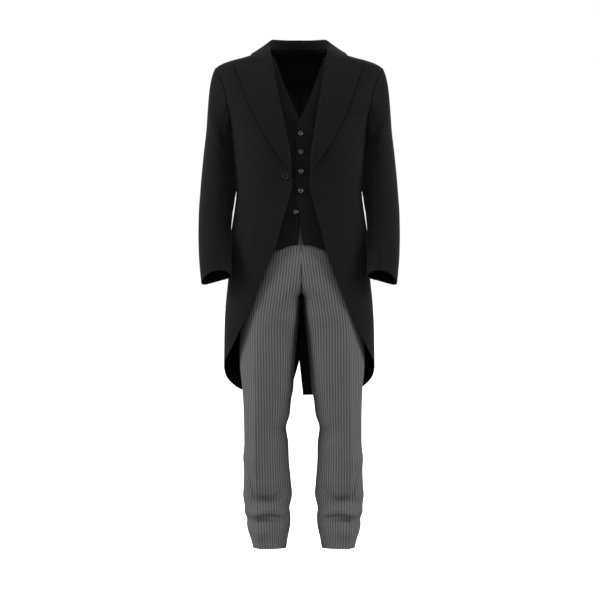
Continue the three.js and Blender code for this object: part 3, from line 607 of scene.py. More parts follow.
def moulded(name, colour, roughness, gloss, coat):
    """Buttons: horn or resin with faint clouds in it."""
    finish = Finish(name)
    place = finish.node("ShaderNodeTexCoord")["Object"]
    clouds = finish.clouds(place, 260.0, 4.0)
    return finish.surface(
        Base_Color=finish.tone(clouds, colour, 0.7, 1.4),
        Roughness=clouds * 0.08 + roughness,
        Specular=gloss,
        Coat_Weight=coat,
        Coat_Roughness=0.1,
        Normal=finish.raised(clouds, 0.0001, 0.2),
    )


def thread_finish(name, colour):
    """Button thread and buttonhole silk: fine turns round a strand."""
    finish = Finish(name)
    across, along, _ = finish.cloth_plane()
    turns = finish.wave((along + across * 0.6) / 0.0006)
    return finish.surface(
        Base_Color=finish.tone(turns, colour, 0.6, 1.5),
        Roughness=turns * 0.1 + 0.6,
        Specular=0.1,
        Normal=finish.raised(turns, 0.00015, 0.8),
    )


def floor_finish(name, colour):
    """A pale studio floor with a trace of unevenness."""
    finish = Finish(name)
    place = finish.node("ShaderNodeTexCoord")["Object"]
    clouds = finish.clouds(place, 3.0)
    tone = finish.tone(clouds, colour, 1, 0.985)
    return finish.surface(Base_Color=tone, Roughness=0.8, Specular=0.1,
                          Emission_Color=tone, Emission_Strength=FLOOR_GLOW)


FINISHES = {
    "coat_wool": lambda name: herringbone(name, colour("coat"), 0.0017, 0.0042),
    "waistcoat_wool": lambda name: herringbone(name, colour("waistcoat"), 0.0015, 0.0036),
    "lining_satin": lambda name: satin(name, colour("lining")),
    "trouser_worsted": lambda name: striped(
        name, colour("ground"), colour("dark_stripe"), colour("light_stripe"), size("stripe_repeat") * MM),
    "buttonhole_silk": lambda name: thread_finish(name, colour("silk")),
    "coat_button_horn": lambda name: moulded(name, colour("coat_button"), 0.5, 0.12, 0),
    "waistcoat_button_resin": lambda name: moulded(name, colour("waistcoat_button"), 0.16, 0.5, 0.6),
    "studio_floor": lambda name: floor_finish(name, colour("floor")),
}
COAT_WOOL = ["coat_wool"]
COAT_LINED = ["coat_wool", "lining_satin"]
TROUSER_WORSTED = ["trouser_worsted"]


def finish_named(name):
    """A finish by its name, made the first time that it is asked for."""
    return bpy.data.materials.get(name) or FINISHES[name](name)


# The coat's body

BODY_FULLNESS = 2.3
body_side, body_front, body_back, body_centre = curves(table("height side front back centre", [
    [-6, 70, 40, 60, 15],
    [-13, 86, 46, 64, 15],
    [-24, 112, 53, 72, 14],
    [-35, 143, 60, 80, 13],
    [-45, 177, 66, 86, 12],
    [-52, 203, 70, 90, 11],
    [-60, 225, 74, 94, 10.5],
    [-70, 241, 79, 98, 10],
    [-84, 246.5, 88, 103, 9],
    [-120, 243, 105, 118, 6],
    [-170, 236, 122, 128, 2],
    [-235, 210, 132, 132, 0],
    [-300, 195, 135, 124, 0],
    [-360, 189, 130, 112, 0],
    [-417, 185, 123, 105, 0],
    [-438, 184, 122, 104, 0],
    [-500, 191, 122, 112, 0],
    [-547, 198, 123, 120, 0],
    [-620, 203, 125, 132, 0],
    [-700, 209, 130, 138, 0],
    [-760, 215, 132, 140, 0],
    [-818, 219, 132, 140, 0],
    [-930, 221, 130, 144, 0],
    [-1047, 222, 130, 150, 0],
]), "height")


def torso_layer(inset):
    """A layer of the torso, that far inside the coat."""
    def surface(angle, height):
        angle, height = np.broadcast_arrays(np.asarray(angle, float), np.asarray(height, float))
        sine, cosine = sine_cosine(angle)
        away = inset(height, angle)
        depth = np.where(cosine >= 0, body_front(height), body_back(height))
        x = (body_side(height) - away) * signed_power(sine, 2 / BODY_FULLNESS)
        y = body_centre(height) - (depth - away) * signed_power(cosine, 2 / BODY_FULLNESS)
        return np.stack([x, y, height], axis=-1)

    return surface


coat_surface = torso_layer(lambda height, angle: 0.0)


def front_angle(offset, height, inset=0.0):
    """The angle at which a layer lies that far beside the centre line in front."""
    share = np.clip(offset / (body_side(height) - inset), -1, 1)
    return np.degrees(np.arcsin(signed_power(share, BODY_FULLNESS / 2)))


# The coat's seams

SHOULDER_ANGLE = 92
NECK_POINT = -13
NAPE = -8
SHOULDER_TIP = -70
WAIST_FRONT = -470
HEM_BACK = -1047
SIDE_SEAM_ANGLE = 76
BACK_SEAM_ANGLE = 167
TAIL_SEAM_ANGLE = 164
WAIST_BACK = -436
TAIL_CORNER_ANGLE = 90
OPENING_SHIFT = 5
COLLAR_START = -24
UNDERARM_TURN = 165
BACK_SEAM_TURN = 270
LAPEL_PRESS_WIDTH = 4.5
LAPEL_PRESS_DEPTH = 3.4
FREE_EDGE_LIFT = 8
FREE_EDGE_REACH = 60
FREE_EDGE_END = -830
FREE_EDGE_FADE = 180
VENT_TOP = -943
VENT_SPREAD = {LEFT: 11, RIGHT: 30}
SHIFT_STARTS = -60
SHIFT_ENDS = -400

waist_seam = graph("angle height", [
    [0, -474],
    [9, WAIST_FRONT],
    [30, -458],
    [50, -446],
    [SIDE_SEAM_ANGLE, -438],
    [120, WAIST_BACK],
    [180, WAIST_BACK],
])
armhole_angle, armhole_height = curves(table("turn angle height", [
    [0, SHOULDER_ANGLE, SHOULDER_TIP],
    [30, 75, -87],
    [60, 65, -125],
    [90, 61, -170],
    [120, 64, -207],
    [150, 73, -231],
    [180, 88, -242],
    [210, 104, -234],
    [240, 117, -206],
    [270, 122, -165],
    [300, 118, -122],
    [330, 107, -87],
    [360, SHOULDER_ANGLE, SHOULDER_TIP],
]), "turn")
front_edge = graph("height offset", [
    [-24, 84.5],
    [-40, 82],
    [-92, 74.5],
    [-180, 59.5],
    [-277, 41],
    [-350, 30],
    [-420, 26],
    [-470, 36],
])

COAT_MARKS = [(-1, table(MARK, [
    [149, -296, 152, -452, 2, 2.2, -1.1],
    [52, -398, 108, -372, 4, 9, -1.3],
    [54, -404, 112, -420, -5, 10, -1.4],
    [62, -388, 130, -330, 8, 12, 1.0],
    [196, -250, 168, -330, -8, 9, -2.0],
    [190, -262, 150, -306, -6, 11, 1.2],
    [172, -452, 120, -470, 3, 10, 1.0],
])), (1, table(MARK, [
    [196, -236, 150, -300, -8, 11, -2.2],
    [188, -268, 128, -330, 9, 13, 1.8],
    [60, -60, 118, -92, 5, 14, 1.4],
    [118, -420, 60, -398, 6, 11, -1.8],
    [130, -400, 70, -372, 5, 12, 1.5],
    [150, -452, 96, -476, -5, 12, -1.5],
]))]
SKIRT_BACK_MARKS = (1, table(MARK, [
    [120, -450, 178, -960, 14, 26, 4.5],
    [96, -450, 138, -990, 10, 20, -4.0],
    [72, -456, 96, -1020, 6, 16, 2.6],
    [24, -452, 34, -1030, 4, 12, -1.6],
]))
SKIRT_MARKS = [(-1, table(MARK, [
    [168, -452, 196, -700, 10, 22, 2.6],
    [140, -470, 172, -690, 8, 18, -2.2],
    [118, -470, 136, -640, 6, 16, 1.4],
])), SKIRT_BACK_MARKS]
# Columns, width, rows and length of each panel's grid
FOREPART_GRID = (44, 240, 84, 440)
SIDEBODY_GRID = (36, 170, 44, 230)
SKIRT_GRID = (80, 420, 100, 520)
BACK_GRID = (36, 190, 190, 1040)


def armhole(turn):
    wrapped = np.where(turn == 360, 360, turn % 360)
    return armhole_angle(wrapped), armhole_height(wrapped)


def armhole_stretch(start, end):
    return line(*armhole(span(start, end, abs(end - start) // 15)))


def opening_shift(height, side):
    return side * OPENING_SHIFT * ease((SHIFT_STARTS - height) / (SHIFT_STARTS - SHIFT_ENDS))


def front_edge_angle(height, side):
    return front_angle(front_edge(height) + opening_shift(height, side), height)


def cutaway(side):
    """The edge from the waist round to the hem of the tail."""
    return table("angle height", [
        [front_edge_angle(WAIST_FRONT, side), WAIST_FRONT],
        [13.3 + side, -540],
        [17.2 + side, -600],
        [21.5, -640],
        [27, -691],
        [36.4, -768],
        [47.2, -830],
        [58, -878],
        [72, -918],
        [TAIL_CORNER_ANGLE, -951],
        [100, -976],
        [115, -1003],
        [129, -1024],
        [150, -1043],
        [180, HEM_BACK],
    ])


def shoulder_seam():
    return line(SHOULDER_ANGLE, span(NECK_POINT, SHOULDER_TIP, 7))


def side_seam():
    return straight((SIDE_SEAM_ANGLE, waist_seam(SIDE_SEAM_ANGLE)), armhole(UNDERARM_TURN), 7)


def back_seam():
    top_angle, top_height = armhole(BACK_SEAM_TURN)
    return rising(WAIST_BACK, top_height, 7, graph("height angle", [
        [top_height, top_angle],
        [-220, 133],
        [-300, 148],
        [-380, 160],
        [WAIST_BACK, BACK_SEAM_ANGLE],
    ]))


def tail_seam(hem_height):
    return straight((TAIL_SEAM_ANGLE, hem_height), (BACK_SEAM_ANGLE, WAIST_BACK), 14)


def waist_edge(start, end):
    return rounding(start, end, 7, waist_seam)


def centre_back_angle(height, side):
    spread = VENT_SPREAD[side] * np.maximum(0, (VENT_TOP - height) / (VENT_TOP - HEM_BACK))
    return 180 - front_angle(spread, height)


def forepart_places(side):
    front_at = lambda height: front_edge_angle(height, side)
    neckline = straight((front_at(COLLAR_START), COLLAR_START), (SHOULDER_ANGLE, NECK_POINT), 3)
    return fill(
        FOREPART_GRID,
        waist_edge(front_at(WAIST_FRONT), SIDE_SEAM_ANGLE),
        shoulder_seam(),
        joined(rising(WAIST_FRONT, COLLAR_START, 15, front_at), neckline),
        joined(side_seam(), armhole_stretch(UNDERARM_TURN, 0)),
    )


def sidebody_places():
    return fill(
        SIDEBODY_GRID,
        waist_edge(SIDE_SEAM_ANGLE, BACK_SEAM_ANGLE),
        armhole_stretch(UNDERARM_TURN, BACK_SEAM_TURN),
        side_seam(),
        back_seam(),
    )


def skirt_places(side):
    rows = cutaway(side)
    hem, front = curve(rows, "angle", "height"), curve(rows, "height", "angle")
    front_waist = waist_edge(front_edge_angle(WAIST_FRONT, side), SIDE_SEAM_ANGLE)
    return fill(
        SKIRT_GRID,
        rounding(TAIL_CORNER_ANGLE, TAIL_SEAM_ANGLE, 14, hem),
        joined(front_waist, waist_edge(SIDE_SEAM_ANGLE, BACK_SEAM_ANGLE)),
        rising(hem(TAIL_CORNER_ANGLE), WAIST_FRONT, 14, front),
        tail_seam(hem(TAIL_SEAM_ANGLE)),
    )


def back_places(side):
    hem = curve(cutaway(side), "angle", "height")
    centre_at = lambda height: centre_back_angle(height, side)
    centre = joined(rising(HEM_BACK, WAIST_BACK, 14, centre_at), rising(WAIST_BACK, NAPE, 9, centre_at))
    return fill(
        BACK_GRID,
        rounding(TAIL_SEAM_ANGLE, centre_at(HEM_BACK), 7, hem),
        shoulder_seam()[::-1],
        joined(tail_seam(hem(TAIL_SEAM_ANGLE)), back_seam(), armhole_stretch(BACK_SEAM_TURN, 360)),
        joined(centre, straight((180, NAPE), (SHOULDER_ANGLE, NECK_POINT), 4)),
    )


def under_lapel(points, side):
    """The forepart pressed in along the lapel's outer edge."""
    height = points[..., 2]
    edge_line = lapel_edge(height) + opening_shift(height, side)
    near = np.exp(-((points[..., 0] - edge_line) / LAPEL_PRESS_WIDTH) ** 2)
    held = ease(height, start=LAPEL_BOTTOM, over=40) * ease(PEAK_HEIGHT - height, over=30)
    return -LAPEL_PRESS_DEPTH * near * held


def hung_free(points):
    """A skirt standing off the leg towards its cut-away edge."""
    away = edge_distances(points)
    high = ease(points[..., 2], start=FREE_EDGE_END, over=FREE_EDGE_FADE)
    held = ease(away["top"], over=FREE_EDGE_REACH) * high
    return FREE_EDGE_LIFT * np.exp(-(away["left"] / FREE_EDGE_REACH) ** 2) * held


def coat_panel(node, places, seams, marks, rests_on, shaped=None):
    """A panel of the coat's body, with its seams, darts and soft folds."""
    points, normals = lay(coat_surface, places)
    reliefs = [strokes(points, normals, rows, facing) for facing, rows in marks]
    if shaped is not None:
        reliefs.append(shaped(points))
    panel(node, "coat_cloth", COAT_LINED, (points, normals), seams, reliefs, rests_on=rests_on)


# Sleeves

SLEEVE_START_LIFT = 3
SLEEVE_HEAD_SHARE = 0.22
SLEEVE_TURN_IN = (-3.4, -1.8, -0.2, 1.4)
SLEEVE_SEAM_IN_FRONT = 105
SLEEVE_SEAM_BEHIND = 255
TOP_SLEEVE_COLUMNS = 56
UNDER_SLEEVE_COLUMNS = 40
SLEEVE_COLUMN = 2.4
SLEEVE_ROWS = (104, 620)

sleeve_outside = graph("height offset", [
    [-70, 244],
    [-84, 250],
    [-110, 257],
    [-140, 262],
    [-200, 268],
    [-252, 272],
    [-320, 280],
    [-432, 290],
    [-509, 294],
    [-547, 294],
    [-610, 291],
    [-662, 286],
    [-703, 281],
])
sleeve_inside = graph("height offset", [
    [-242, 206],
    [-270, 199.5],
    [-300, 193.6],
    [-330, 190.2],
    [-360, 187.6],
    [-385, 185.8],
    [-410, 185.2],
    [-432, 186.4],
    [-455, 189.6],
    [-480, 193.4],
    [-510, 197.2],
    [-540, 199.6],
    [-570, 198],
    [-600, 197.5],
    [-660, 197],
    [-700, 196],
])
sleeve_centre, sleeve_half = curves(table("height centre half", [
    [-70, 8, 68],
    [-170, 6, 71],
    [-300, 12, 72],
    [-432, 2, 69],
    [-500, -10, 65],
    [-547, -24, 61],
    [-600, -50, 56],
    [-660, -80, 51],
    [-703, -95, 49],
]), "height")

# The outside, front, inside and back: heights at both ends, and how far across and deep
SLEEVE_GUIDES = (
    (SHOULDER_TIP, -703, 1, 0),
    (-170, -667, 0, -1),
    (-242, -680, -1, 0),
    (-165, -698, 0, 1),
)
SLEEVE_FOLDS = table(FOLD, [
    [0.16, 118, -3.0, 0.03, 26],
    [0.22, 96, 2.2, 0.035, 30],
    [0.3, 100, -2.0, 0.03, 34],
    [0.43, 110, 2.0, 0.025, 40],
    [0.48, 122, -4.0, 0.02, 45],
    [0.53, 100, 3.0, 0.022, 48],
    [0.58, 130, -3.6, 0.02, 42],
    [0.64, 96, 2.2, 0.025, 40],
    [0.7, 128, -2.0, 0.025, 38],
    [0.5, -70, 2.4, 0.06, 30],
    [0.4, -100, -2.2, 0.04, 26],
    [0.6, -95, -2.4, 0.035, 28],
    [0.26, -80, 2.0, 0.05, 30],
    [0.8, -40, -1.4, 0.05, 30],
    [0.86, 60, 1.4, 0.04, 30],
])


def sleeve_ring(turn, share):
    """A point of the arm's oval, 0 at the outside, 90 in front and 180 at the inside."""
    guides = []
    for start, end, across, deep in SLEEVE_GUIDES:
        height = mix(start, end, share)
        outer, inner = sleeve_outside(height), sleeve_inside(height)
        beside = {1: outer, -1: inner, 0: (outer + inner) / 2}[across]
        behind = sleeve_centre(height) + deep * sleeve_half(height)
        guides.append(np.stack([beside, behind, height], axis=-1))
    outside, front, inside, back = guides
    middle = (outside + front + inside + back) / 4
    cosine, sine = (part[..., None] for part in reversed(sine_cosine(turn)))
    double = np.cos(np.radians(2 * turn))[..., None]
    ring = middle + (outside - inside) * cosine / 2 + (front - back) * sine / 2
    ring = ring + (outside + inside - front - back) * double / 4
    away = (ring - middle) * np.array([1, 1, 0])
    return ring + unit(away) * folded(SLEEVE_FOLDS, share, turn)[..., None]


def sleeve_surface(turn, along):
    """The sleeve from the armhole (0) to the cuff (100)."""
    turn, share = np.broadcast_arrays(np.asarray(turn, float), np.asarray(along, float) / 100)
    angle, height = armhole(turn)
    start = coat_surface(angle, height) + outward(coat_surface, angle, height) * SLEEVE_START_LIFT
    held = 1 - ease(share / SLEEVE_HEAD_SHARE)
    return sleeve_ring(turn, share) + (start - sleeve_ring(turn, 0 * share)) * held[..., None]


def sleeve_panel(node, first, last, columns):
    thickness = size("coat_cloth")
    turns = mix(first, last, shares(columns, SLEEVE_COLUMN * (last - first)))
    places = np.stack(np.meshgrid(turns, 100 * shares(*SLEEVE_ROWS)), axis=-1)
    points, normals = lay(sleeve_surface, places)
    relief = seam_dip(points, ("left", "right"))
    angle, height = armhole(turns)
    sewn, out = coat_surface(angle, height), outward(coat_surface, angle, height)
    turned_in = np.stack([sewn + out * lift for lift in SLEEVE_TURN_IN])
    points = np.concatenate([turned_in, points + normals * relief[..., None]])
    points = stand_back(points, ("left", "right"), thickness / 2)
    forepart = piece_name(f"coat_forepart_{node.split('_')[-1]}")
    cloth_piece(node, points, directed(points), thickness, COAT_LINED, rests_on=[forepart])


# Lapels, collar and breast welt

LAPEL_BOTTOM = -388
GORGE_HEIGHT = -84
NOTCH_ANGLE = 35
NOTCH_HEIGHT = -70
PEAK_OFFSET = 187
PEAK_HEIGHT = -56
ROLL_COLUMNS = 7
ROLL_RADIUS = 1.9
ROLL_START = -0.2
LAPEL_END = 46
LAPEL_END_LIFT = 0.1
PEAK_LIFT = 0.6
LAPEL_COLUMNS = (28, 120)
LAPEL_ROWS = (70, 340)
LAPEL_MARKS = table(MARK, [
    [70, -100, 160, -120, 4, 20, 0.6],
    [44, -330, 120, -180, 6, 14, -0.7],
])

lapel_edge = graph("height offset", [
    [LAPEL_BOTTOM, 31],
    [-374, 37],
    [-328, 69],
    [-262, 105.5],
    [-196, 138],
    [-130, 163],
    [-90, 176.5],
    [PEAK_HEIGHT, PEAK_OFFSET],
])
lapel_lift = graph("share lift", [
    [0, 3.6],
    [0.06, 5.2],
    [0.18, 6.8],
    [0.6, 6.6],
    [0.9, 7.2],
    [1, 7.6],
])


def lapel_places(side):
    front_at = lambda height: front_edge_angle(height, side)
    outer_at = lambda height: front_angle(lapel_edge(height) + opening_shift(height, side), height)
    notch = (NOTCH_ANGLE, NOTCH_HEIGHT)
    bottom = (front_at(LAPEL_BOTTOM), LAPEL_BOTTOM), (outer_at(LAPEL_BOTTOM), LAPEL_BOTTOM)
    return fill(
        LAPEL_COLUMNS + LAPEL_ROWS,
        straight(*bottom, 5),
        joined(straight((front_at(GORGE_HEIGHT), GORGE_HEIGHT), notch, 3),
               straight(notch, (front_angle(PEAK_OFFSET, PEAK_HEIGHT), PEAK_HEIGHT), 2)),
        rising(LAPEL_BOTTOM, GORGE_HEIGHT, 14, front_at),
        rising(LAPEL_BOTTOM, PEAK_HEIGHT, 14, outer_at),
    )


def lapel(side, word):
    """The lapel: the forepart's cloth rolled round its front edge and laid back on it."""
    thickness = size("lapel_cloth")
    points, normals = lay(coat_surface, lapel_places(side))
    height = points[..., 2:]
    flattened = mix(LAPEL_END_LIFT, 1, ease((height - LAPEL_BOTTOM) / LAPEL_END))
    flattened = flattened * mix(PEAK_LIFT, 1, ease((PEAK_HEIGHT - height) / LAPEL_END))
    notch = strokes(points, normals, LAPEL_MARKS, -1)[..., None]
    flat = points + normals * (lapel_lift(shares(*LAPEL_COLUMNS))[None, :, None] * flattened + notch)
    inward = unit(points[:, 1] - points[:, 0])[:, None]
    first, lift = normals[:, :1], lapel_lift(0) * flattened[:, :1]
    turns = np.linspace(0, math.pi, ROLL_COLUMNS, endpoint=False)[None, :, None]
    reach = (lift - ROLL_START) / 2 * np.cos(turns)
    rolled_in = inward * (ROLL_RADIUS * flattened[:, :1]) * np.sin(turns)
    rolled = points[:, :1] - rolled_in + first * ((ROLL_START + lift) / 2 - reach)
    grid = stand_back(np.concatenate([rolled, flat], axis=1), ("top",), thickness / 2)
    cloth_piece(f"coat_lapel_{word}", grid, directed(grid), thickness, COAT_WOOL,
                held="folded", rests_on=[piece_name(f"coat_forepart_{word}")])


COLLAR_LINE = table("share seam_angle seam_height stand lean leaf_angle leaf_height", [
    [0, 180, NAPE, 29, 8, 180, -33],
    [0.25, 136, -10, 29, 9, 138, -31],
    [0.5, SHOULDER_ANGLE, NECK_POINT, 27, 11, SHOULDER_ANGLE, -28.5],
    [0.62, 72, -17, 19, 9, 66, -36],
    [0.75, 46.3, -24, 9, 4, 45, -49],
    [0.87, 24, -48, 4.5, 1, 39, -60],
    [1, 14.9, GORGE_HEIGHT, 4, 0, NOTCH_ANGLE, NOTCH_HEIGHT],
])
COLLAR_LEAF_LIFT = 5.4
LEAF_SHARES = (0.06, 0.35, 0.68, 1)
STAND_SHARES = (0.5, 0.85)
FOLD_DEPTH = 4
STAND_RISE = 1.9
ROLL_LIFT = 2.9
GORGE_STANDOFF = 0.8
COLLAR_SECTIONS = 150
COLLAR_COLUMNS = 30


def collar_section(share):
    """One section of the collar, from its seam up over the fold and down to the leaf's edge."""
    read = {column: float(curve(COLLAR_LINE, "share", column)(share)) for column in COLLAR_LINE}
    on_edge = ease(share, start=0.7, over=0.05)
    rolled = ROLL_RADIUS * ease(share, start=0.75, over=0.25)
    edge_angle = front_angle(front_edge(read["seam_height"]) - rolled, read["seam_height"])
    seam_angle = mix(read["seam_angle"], edge_angle, on_edge)
    seam = coat_surface(seam_angle, read["seam_height"])
    outwards = outward(coat_surface, seam_angle, read["seam_height"])
    flat = unit(outwards * np.array([1, 1, 0]))
    on_body = ease(share, start=0.55, over=0.3)
    up = np.array([0, 0, 1])
    bottom = mix(seam + up * STAND_RISE, seam + outwards * ROLL_LIFT, on_body)
    fold = mix(seam - flat * read["lean"] + up * read["stand"], seam + outwards * COLLAR_LEAF_LIFT, on_body)

    def lifted(angle, height):
        return coat_surface(angle, height) + outward(coat_surface, angle, height) * COLLAR_LEAF_LIFT

    def leaf(along):
        laid = lifted(mix(seam_angle, read["leaf_angle"], along),
                      mix(read["seam_height"], read["leaf_height"], along))
        hung = mix(fold + flat * FOLD_DEPTH, lifted(read["leaf_angle"], read["leaf_height"]), along)
        return mix(hung, laid, on_body)

    return np.array([
        bottom,
        *(mix(bottom, fold, rise) for rise in STAND_SHARES),
        fold + flat * FOLD_DEPTH / 2,
        *(leaf(share) for share in LEAF_SHARES),
    ])


def smooth_line(points, count):
    """A curve through points, by centripetal tangents, with count steps."""
    gaps = np.maximum(np.linalg.norm(np.diff(points, axis=0), axis=1), 1e-6) ** 0.5
    at = np.concatenate([[0], np.cumsum(gaps)])
    tangent = np.gradient(points, at, axis=0)
    place = np.linspace(0, at[-1], count + 1)
    i = np.clip(np.searchsorted(at, place, side="right") - 1, 0, len(at) - 2)
    width = (at[i + 1] - at[i])[:, None]
    t = (place - at[i])[:, None] / width
    return bridge(points[i], points[i + 1] - points[i], tangent[i] * width, tangent[i + 1] * width, t)


def collar():
    sections = []
    for share in np.linspace(-1, 1, COLLAR_SECTIONS + 1):
        mirror = np.array([-1 if share < 0 else 1, 1, 1])
        sections.append(smooth_line(collar_section(abs(share)) * mirror, COLLAR_COLUMNS))
    grid = stand_back(np.stack(sections, axis=1), ("left", "right"), GORGE_STANDOFF)
    rests_on = [piece_name(f"coat_{part}_{word}") for part in ("back", "lapel") for word, _ in SIDES]
    cloth_piece("coat_collar", grid, directed(grid), size("lapel_cloth"), COAT_WOOL,
                held="folded", rests_on=rests_on)


WELT_INNER = 92
WELT_OUTER = 184
WELT_BOTTOM = -219
WELT_HEIGHT = 27
WELT_SLOPE = 0.05
WELT_GAP = 0.3
WELT_OPEN = 1.6
WELT_COLUMNS = 36
WELT_ROWS = 8


def breast_welt():
    """The pocket's welt, sewn down at its ends and open along its top."""
    thickness = size("welt_cloth")
    columns = shares(WELT_COLUMNS, WELT_OUTER - WELT_INNER)
    across, along = np.meshgrid(columns, shares(WELT_ROWS, WELT_HEIGHT))
    offset = mix(WELT_INNER, WELT_OUTER, across)
    height = WELT_BOTTOM + along * WELT_HEIGHT + (offset - WELT_INNER) * WELT_SLOPE
    points, normals = lay(coat_surface, line(front_angle(offset, height), height))
    away = edge_distances(points)
    ends = stitching((away["left"], away["right"]), inset=2.5, width=1.1, depth=0.45)
    base = (size("coat_cloth") + thickness) / 2 + WELT_GAP
    lift = base + WELT_OPEN * ease(along * 2) + ends
    points = points + normals * (lift + under_lapel(points, LEFT))[..., None]
    cloth_piece("coat_breast_welt", points, normals, thickness, COAT_WOOL,
                held="laid", rests_on=[piece_name("coat_forepart_left")])


# Waistcoat

waistcoat_inset = graph("height inset", [
    [-13, 9],
    [-60, 9.5],
    [-90, 8],
    [-140, 9],
    [-240, 12],
    [-420, 10],
    [-608, 12],
])
LAP = 3.4
LAP_FULL_ANGLE = 8
LAP_END_ANGLE = 26
WAISTCOAT_SIDE_ANGLE = 90
WAISTCOAT_SIDE_TOP = -262
WAISTCOAT_NECK = -17
WAISTCOAT_TIP = -42
WAISTCOAT_NAPE = -15
WAISTCOAT_POINT_ANGLE = 19
WAISTCOAT_BOTTOM = -593
V_BOTTOM = -255


def behind_inset(height, angle):
    """The right front lies behind the left one where they lap."""
    behind = 1 - ease((np.abs(angle) - LAP_FULL_ANGLE) / (LAP_END_ANGLE - LAP_FULL_ANGLE))
    return waistcoat_inset(height) + LAP * behind


waistcoat_surface = {
    LEFT: torso_layer(lambda height, angle: waistcoat_inset(height)),
    RIGHT: torso_layer(behind_inset),
}
waistcoat_edge = dict(zip((LEFT, RIGHT), curves(table("height left right", [
    [WAISTCOAT_NECK, 81, 81],
    [-40, 75, 75],
    [-64, 68, 68],
    [-100, 56.5, 56.5],
    [-157, 36, 36],
    [-200, 18, 18],
    [-237, 0, 0],
    [V_BOTTOM, -11, -11],
    [-285, -12, -12],
    [-450, -12, -12],
    [-475, -8, -5],
    [-500, -4, 1],
    [-540, 0, 4],
    [WAISTCOAT_BOTTOM, 6, 8],
]), "height")))
waistcoat_hem = graph("angle height", [
    [0, WAISTCOAT_BOTTOM],
    [4, WAISTCOAT_BOTTOM],
    [WAISTCOAT_POINT_ANGLE, -608],
    [45, -590],
    [90, -565],
    [135, -553],
    [180, -548],
])
WAISTCOAT_ARM_FRONT = table("along angle height", [
    [0, WAISTCOAT_SIDE_ANGLE, WAISTCOAT_SIDE_TOP],
    [1, 70, -247],
    [2, 52, -216],
    [3, 41, -172],
    [4, 38, -132],
    [5, 38, -97],
    [6, 41, -70],
    [7, 56, -53],
    [8, SHOULDER_ANGLE, WAISTCOAT_TIP],
])
WAISTCOAT_ARM_BACK = table("along angle height", [
    [0, WAISTCOAT_SIDE_ANGLE, WAISTCOAT_SIDE_TOP],
    [1, 106, -243],
    [2, 122, -208],
    [3, 133, -168],
    [4, 137, -132],
    [5, 138, -98],
    [6, 136, -72],
    [7, 124, -54],
    [8, SHOULDER_ANGLE, WAISTCOAT_TIP],
])
WAISTCOAT_MARKS = table(MARK, [
    [8, -328, 60, -316, 3, 6, -0.9],
    [8, -383, 66, -388, -3, 7, -1.1],
    [6, -439, 62, -452, -4, 7, -1.1],
    [10, -356, 70, -350, 3, 8, 0.8],
    [10, -412, 70, -420, -3, 8, 0.9],
    [84, -300, 86, -470, 2, 1.8, -0.8],
])
WAISTCOAT_FRONT_GRID = (50, 250, 110, 590)
WAISTCOAT_BACK_GRID = (36, 230, 80, 560)


def waistcoat_front_places(side):
    edge_at = lambda height: front_angle(waistcoat_edge[side](height), height, waistcoat_inset(height))
    start = float(edge_at(WAISTCOAT_BOTTOM))
    vee = rising(V_BOTTOM, WAISTCOAT_NECK, 8, edge_at)
    vee[-FINE:, 0] = np.linspace(vee[-FINE, 0], SHOULDER_ANGLE, FINE)
    return fill(
        WAISTCOAT_FRONT_GRID,
        joined(rounding(start, WAISTCOAT_POINT_ANGLE, 3, waistcoat_hem),
               rounding(WAISTCOAT_POINT_ANGLE, WAISTCOAT_SIDE_ANGLE, 5, waistcoat_hem)),
        line(SHOULDER_ANGLE, span(WAISTCOAT_NECK, WAISTCOAT_TIP, 8)),
        joined(rising(WAISTCOAT_BOTTOM, V_BOTTOM, 8, edge_at), vee),
        joined(waistcoat_side(), arm_line(WAISTCOAT_ARM_FRONT)),
    )


def waistcoat_side():
    return line(WAISTCOAT_SIDE_ANGLE, span(waistcoat_hem(WAISTCOAT_SIDE_ANGLE), WAISTCOAT_SIDE_TOP, 8))


def arm_line(rows):
    angle, height = curves(rows, "along")
    along = span(0, 8, 8)
    return line(angle(along), height(along))


def waistcoat_back_places():
    neckline = straight((180, WAISTCOAT_NAPE), (SHOULDER_ANGLE, WAISTCOAT_NECK), 4)
    return fill(
        WAISTCOAT_BACK_GRID,
        rounding(WAISTCOAT_SIDE_ANGLE, 180, 8, waistcoat_hem),
        line(SHOULDER_ANGLE, span(WAISTCOAT_TIP, WAISTCOAT_NECK, 8)),
        joined(waistcoat_side(), arm_line(WAISTCOAT_ARM_BACK)),
        joined(line(180, span(waistcoat_hem(180), WAISTCOAT_NAPE, 12)), neckline),
    )


def waistcoat_panel(node, surface, places, seams, outer, rests_on):
    points, normals = lay(surface, places)
    reliefs = [strokes(points, normals, WAISTCOAT_MARKS, -1)]
    if "left" not in seams:
        reliefs.append(stitching([edge_distances(points)["left"]], inset=5, width=0.9, depth=0.35))
    panel(node, "waistcoat_cloth", [outer, "lining_satin"], (points, normals), seams, reliefs,
          rests_on=rests_on)


# Trousers

CENTRE_CLEARANCE = 0.5
FORK = -745
TROUSER_TOP = -520
WAISTBAND_TOP = -482
CALF = -1190
HEM = -1486
THIGH_ROWS = 40
KNEE_ROWS = 70
SHIN_ROWS = 96
TROUSER_COLUMNS = (64, 260)
WAISTBAND_COLUMNS = (96, 480)
WAISTBAND_ROWS = 9
BISECTIONS = 40
CREASE_SPREAD = 14
CREASE_PLACED = -700
CREASE_FREE = -560
HEM_SLANT_STARTS = -1340
HEM_SLANT_FRONT = 11
HEM_SLANT_BACK = -12

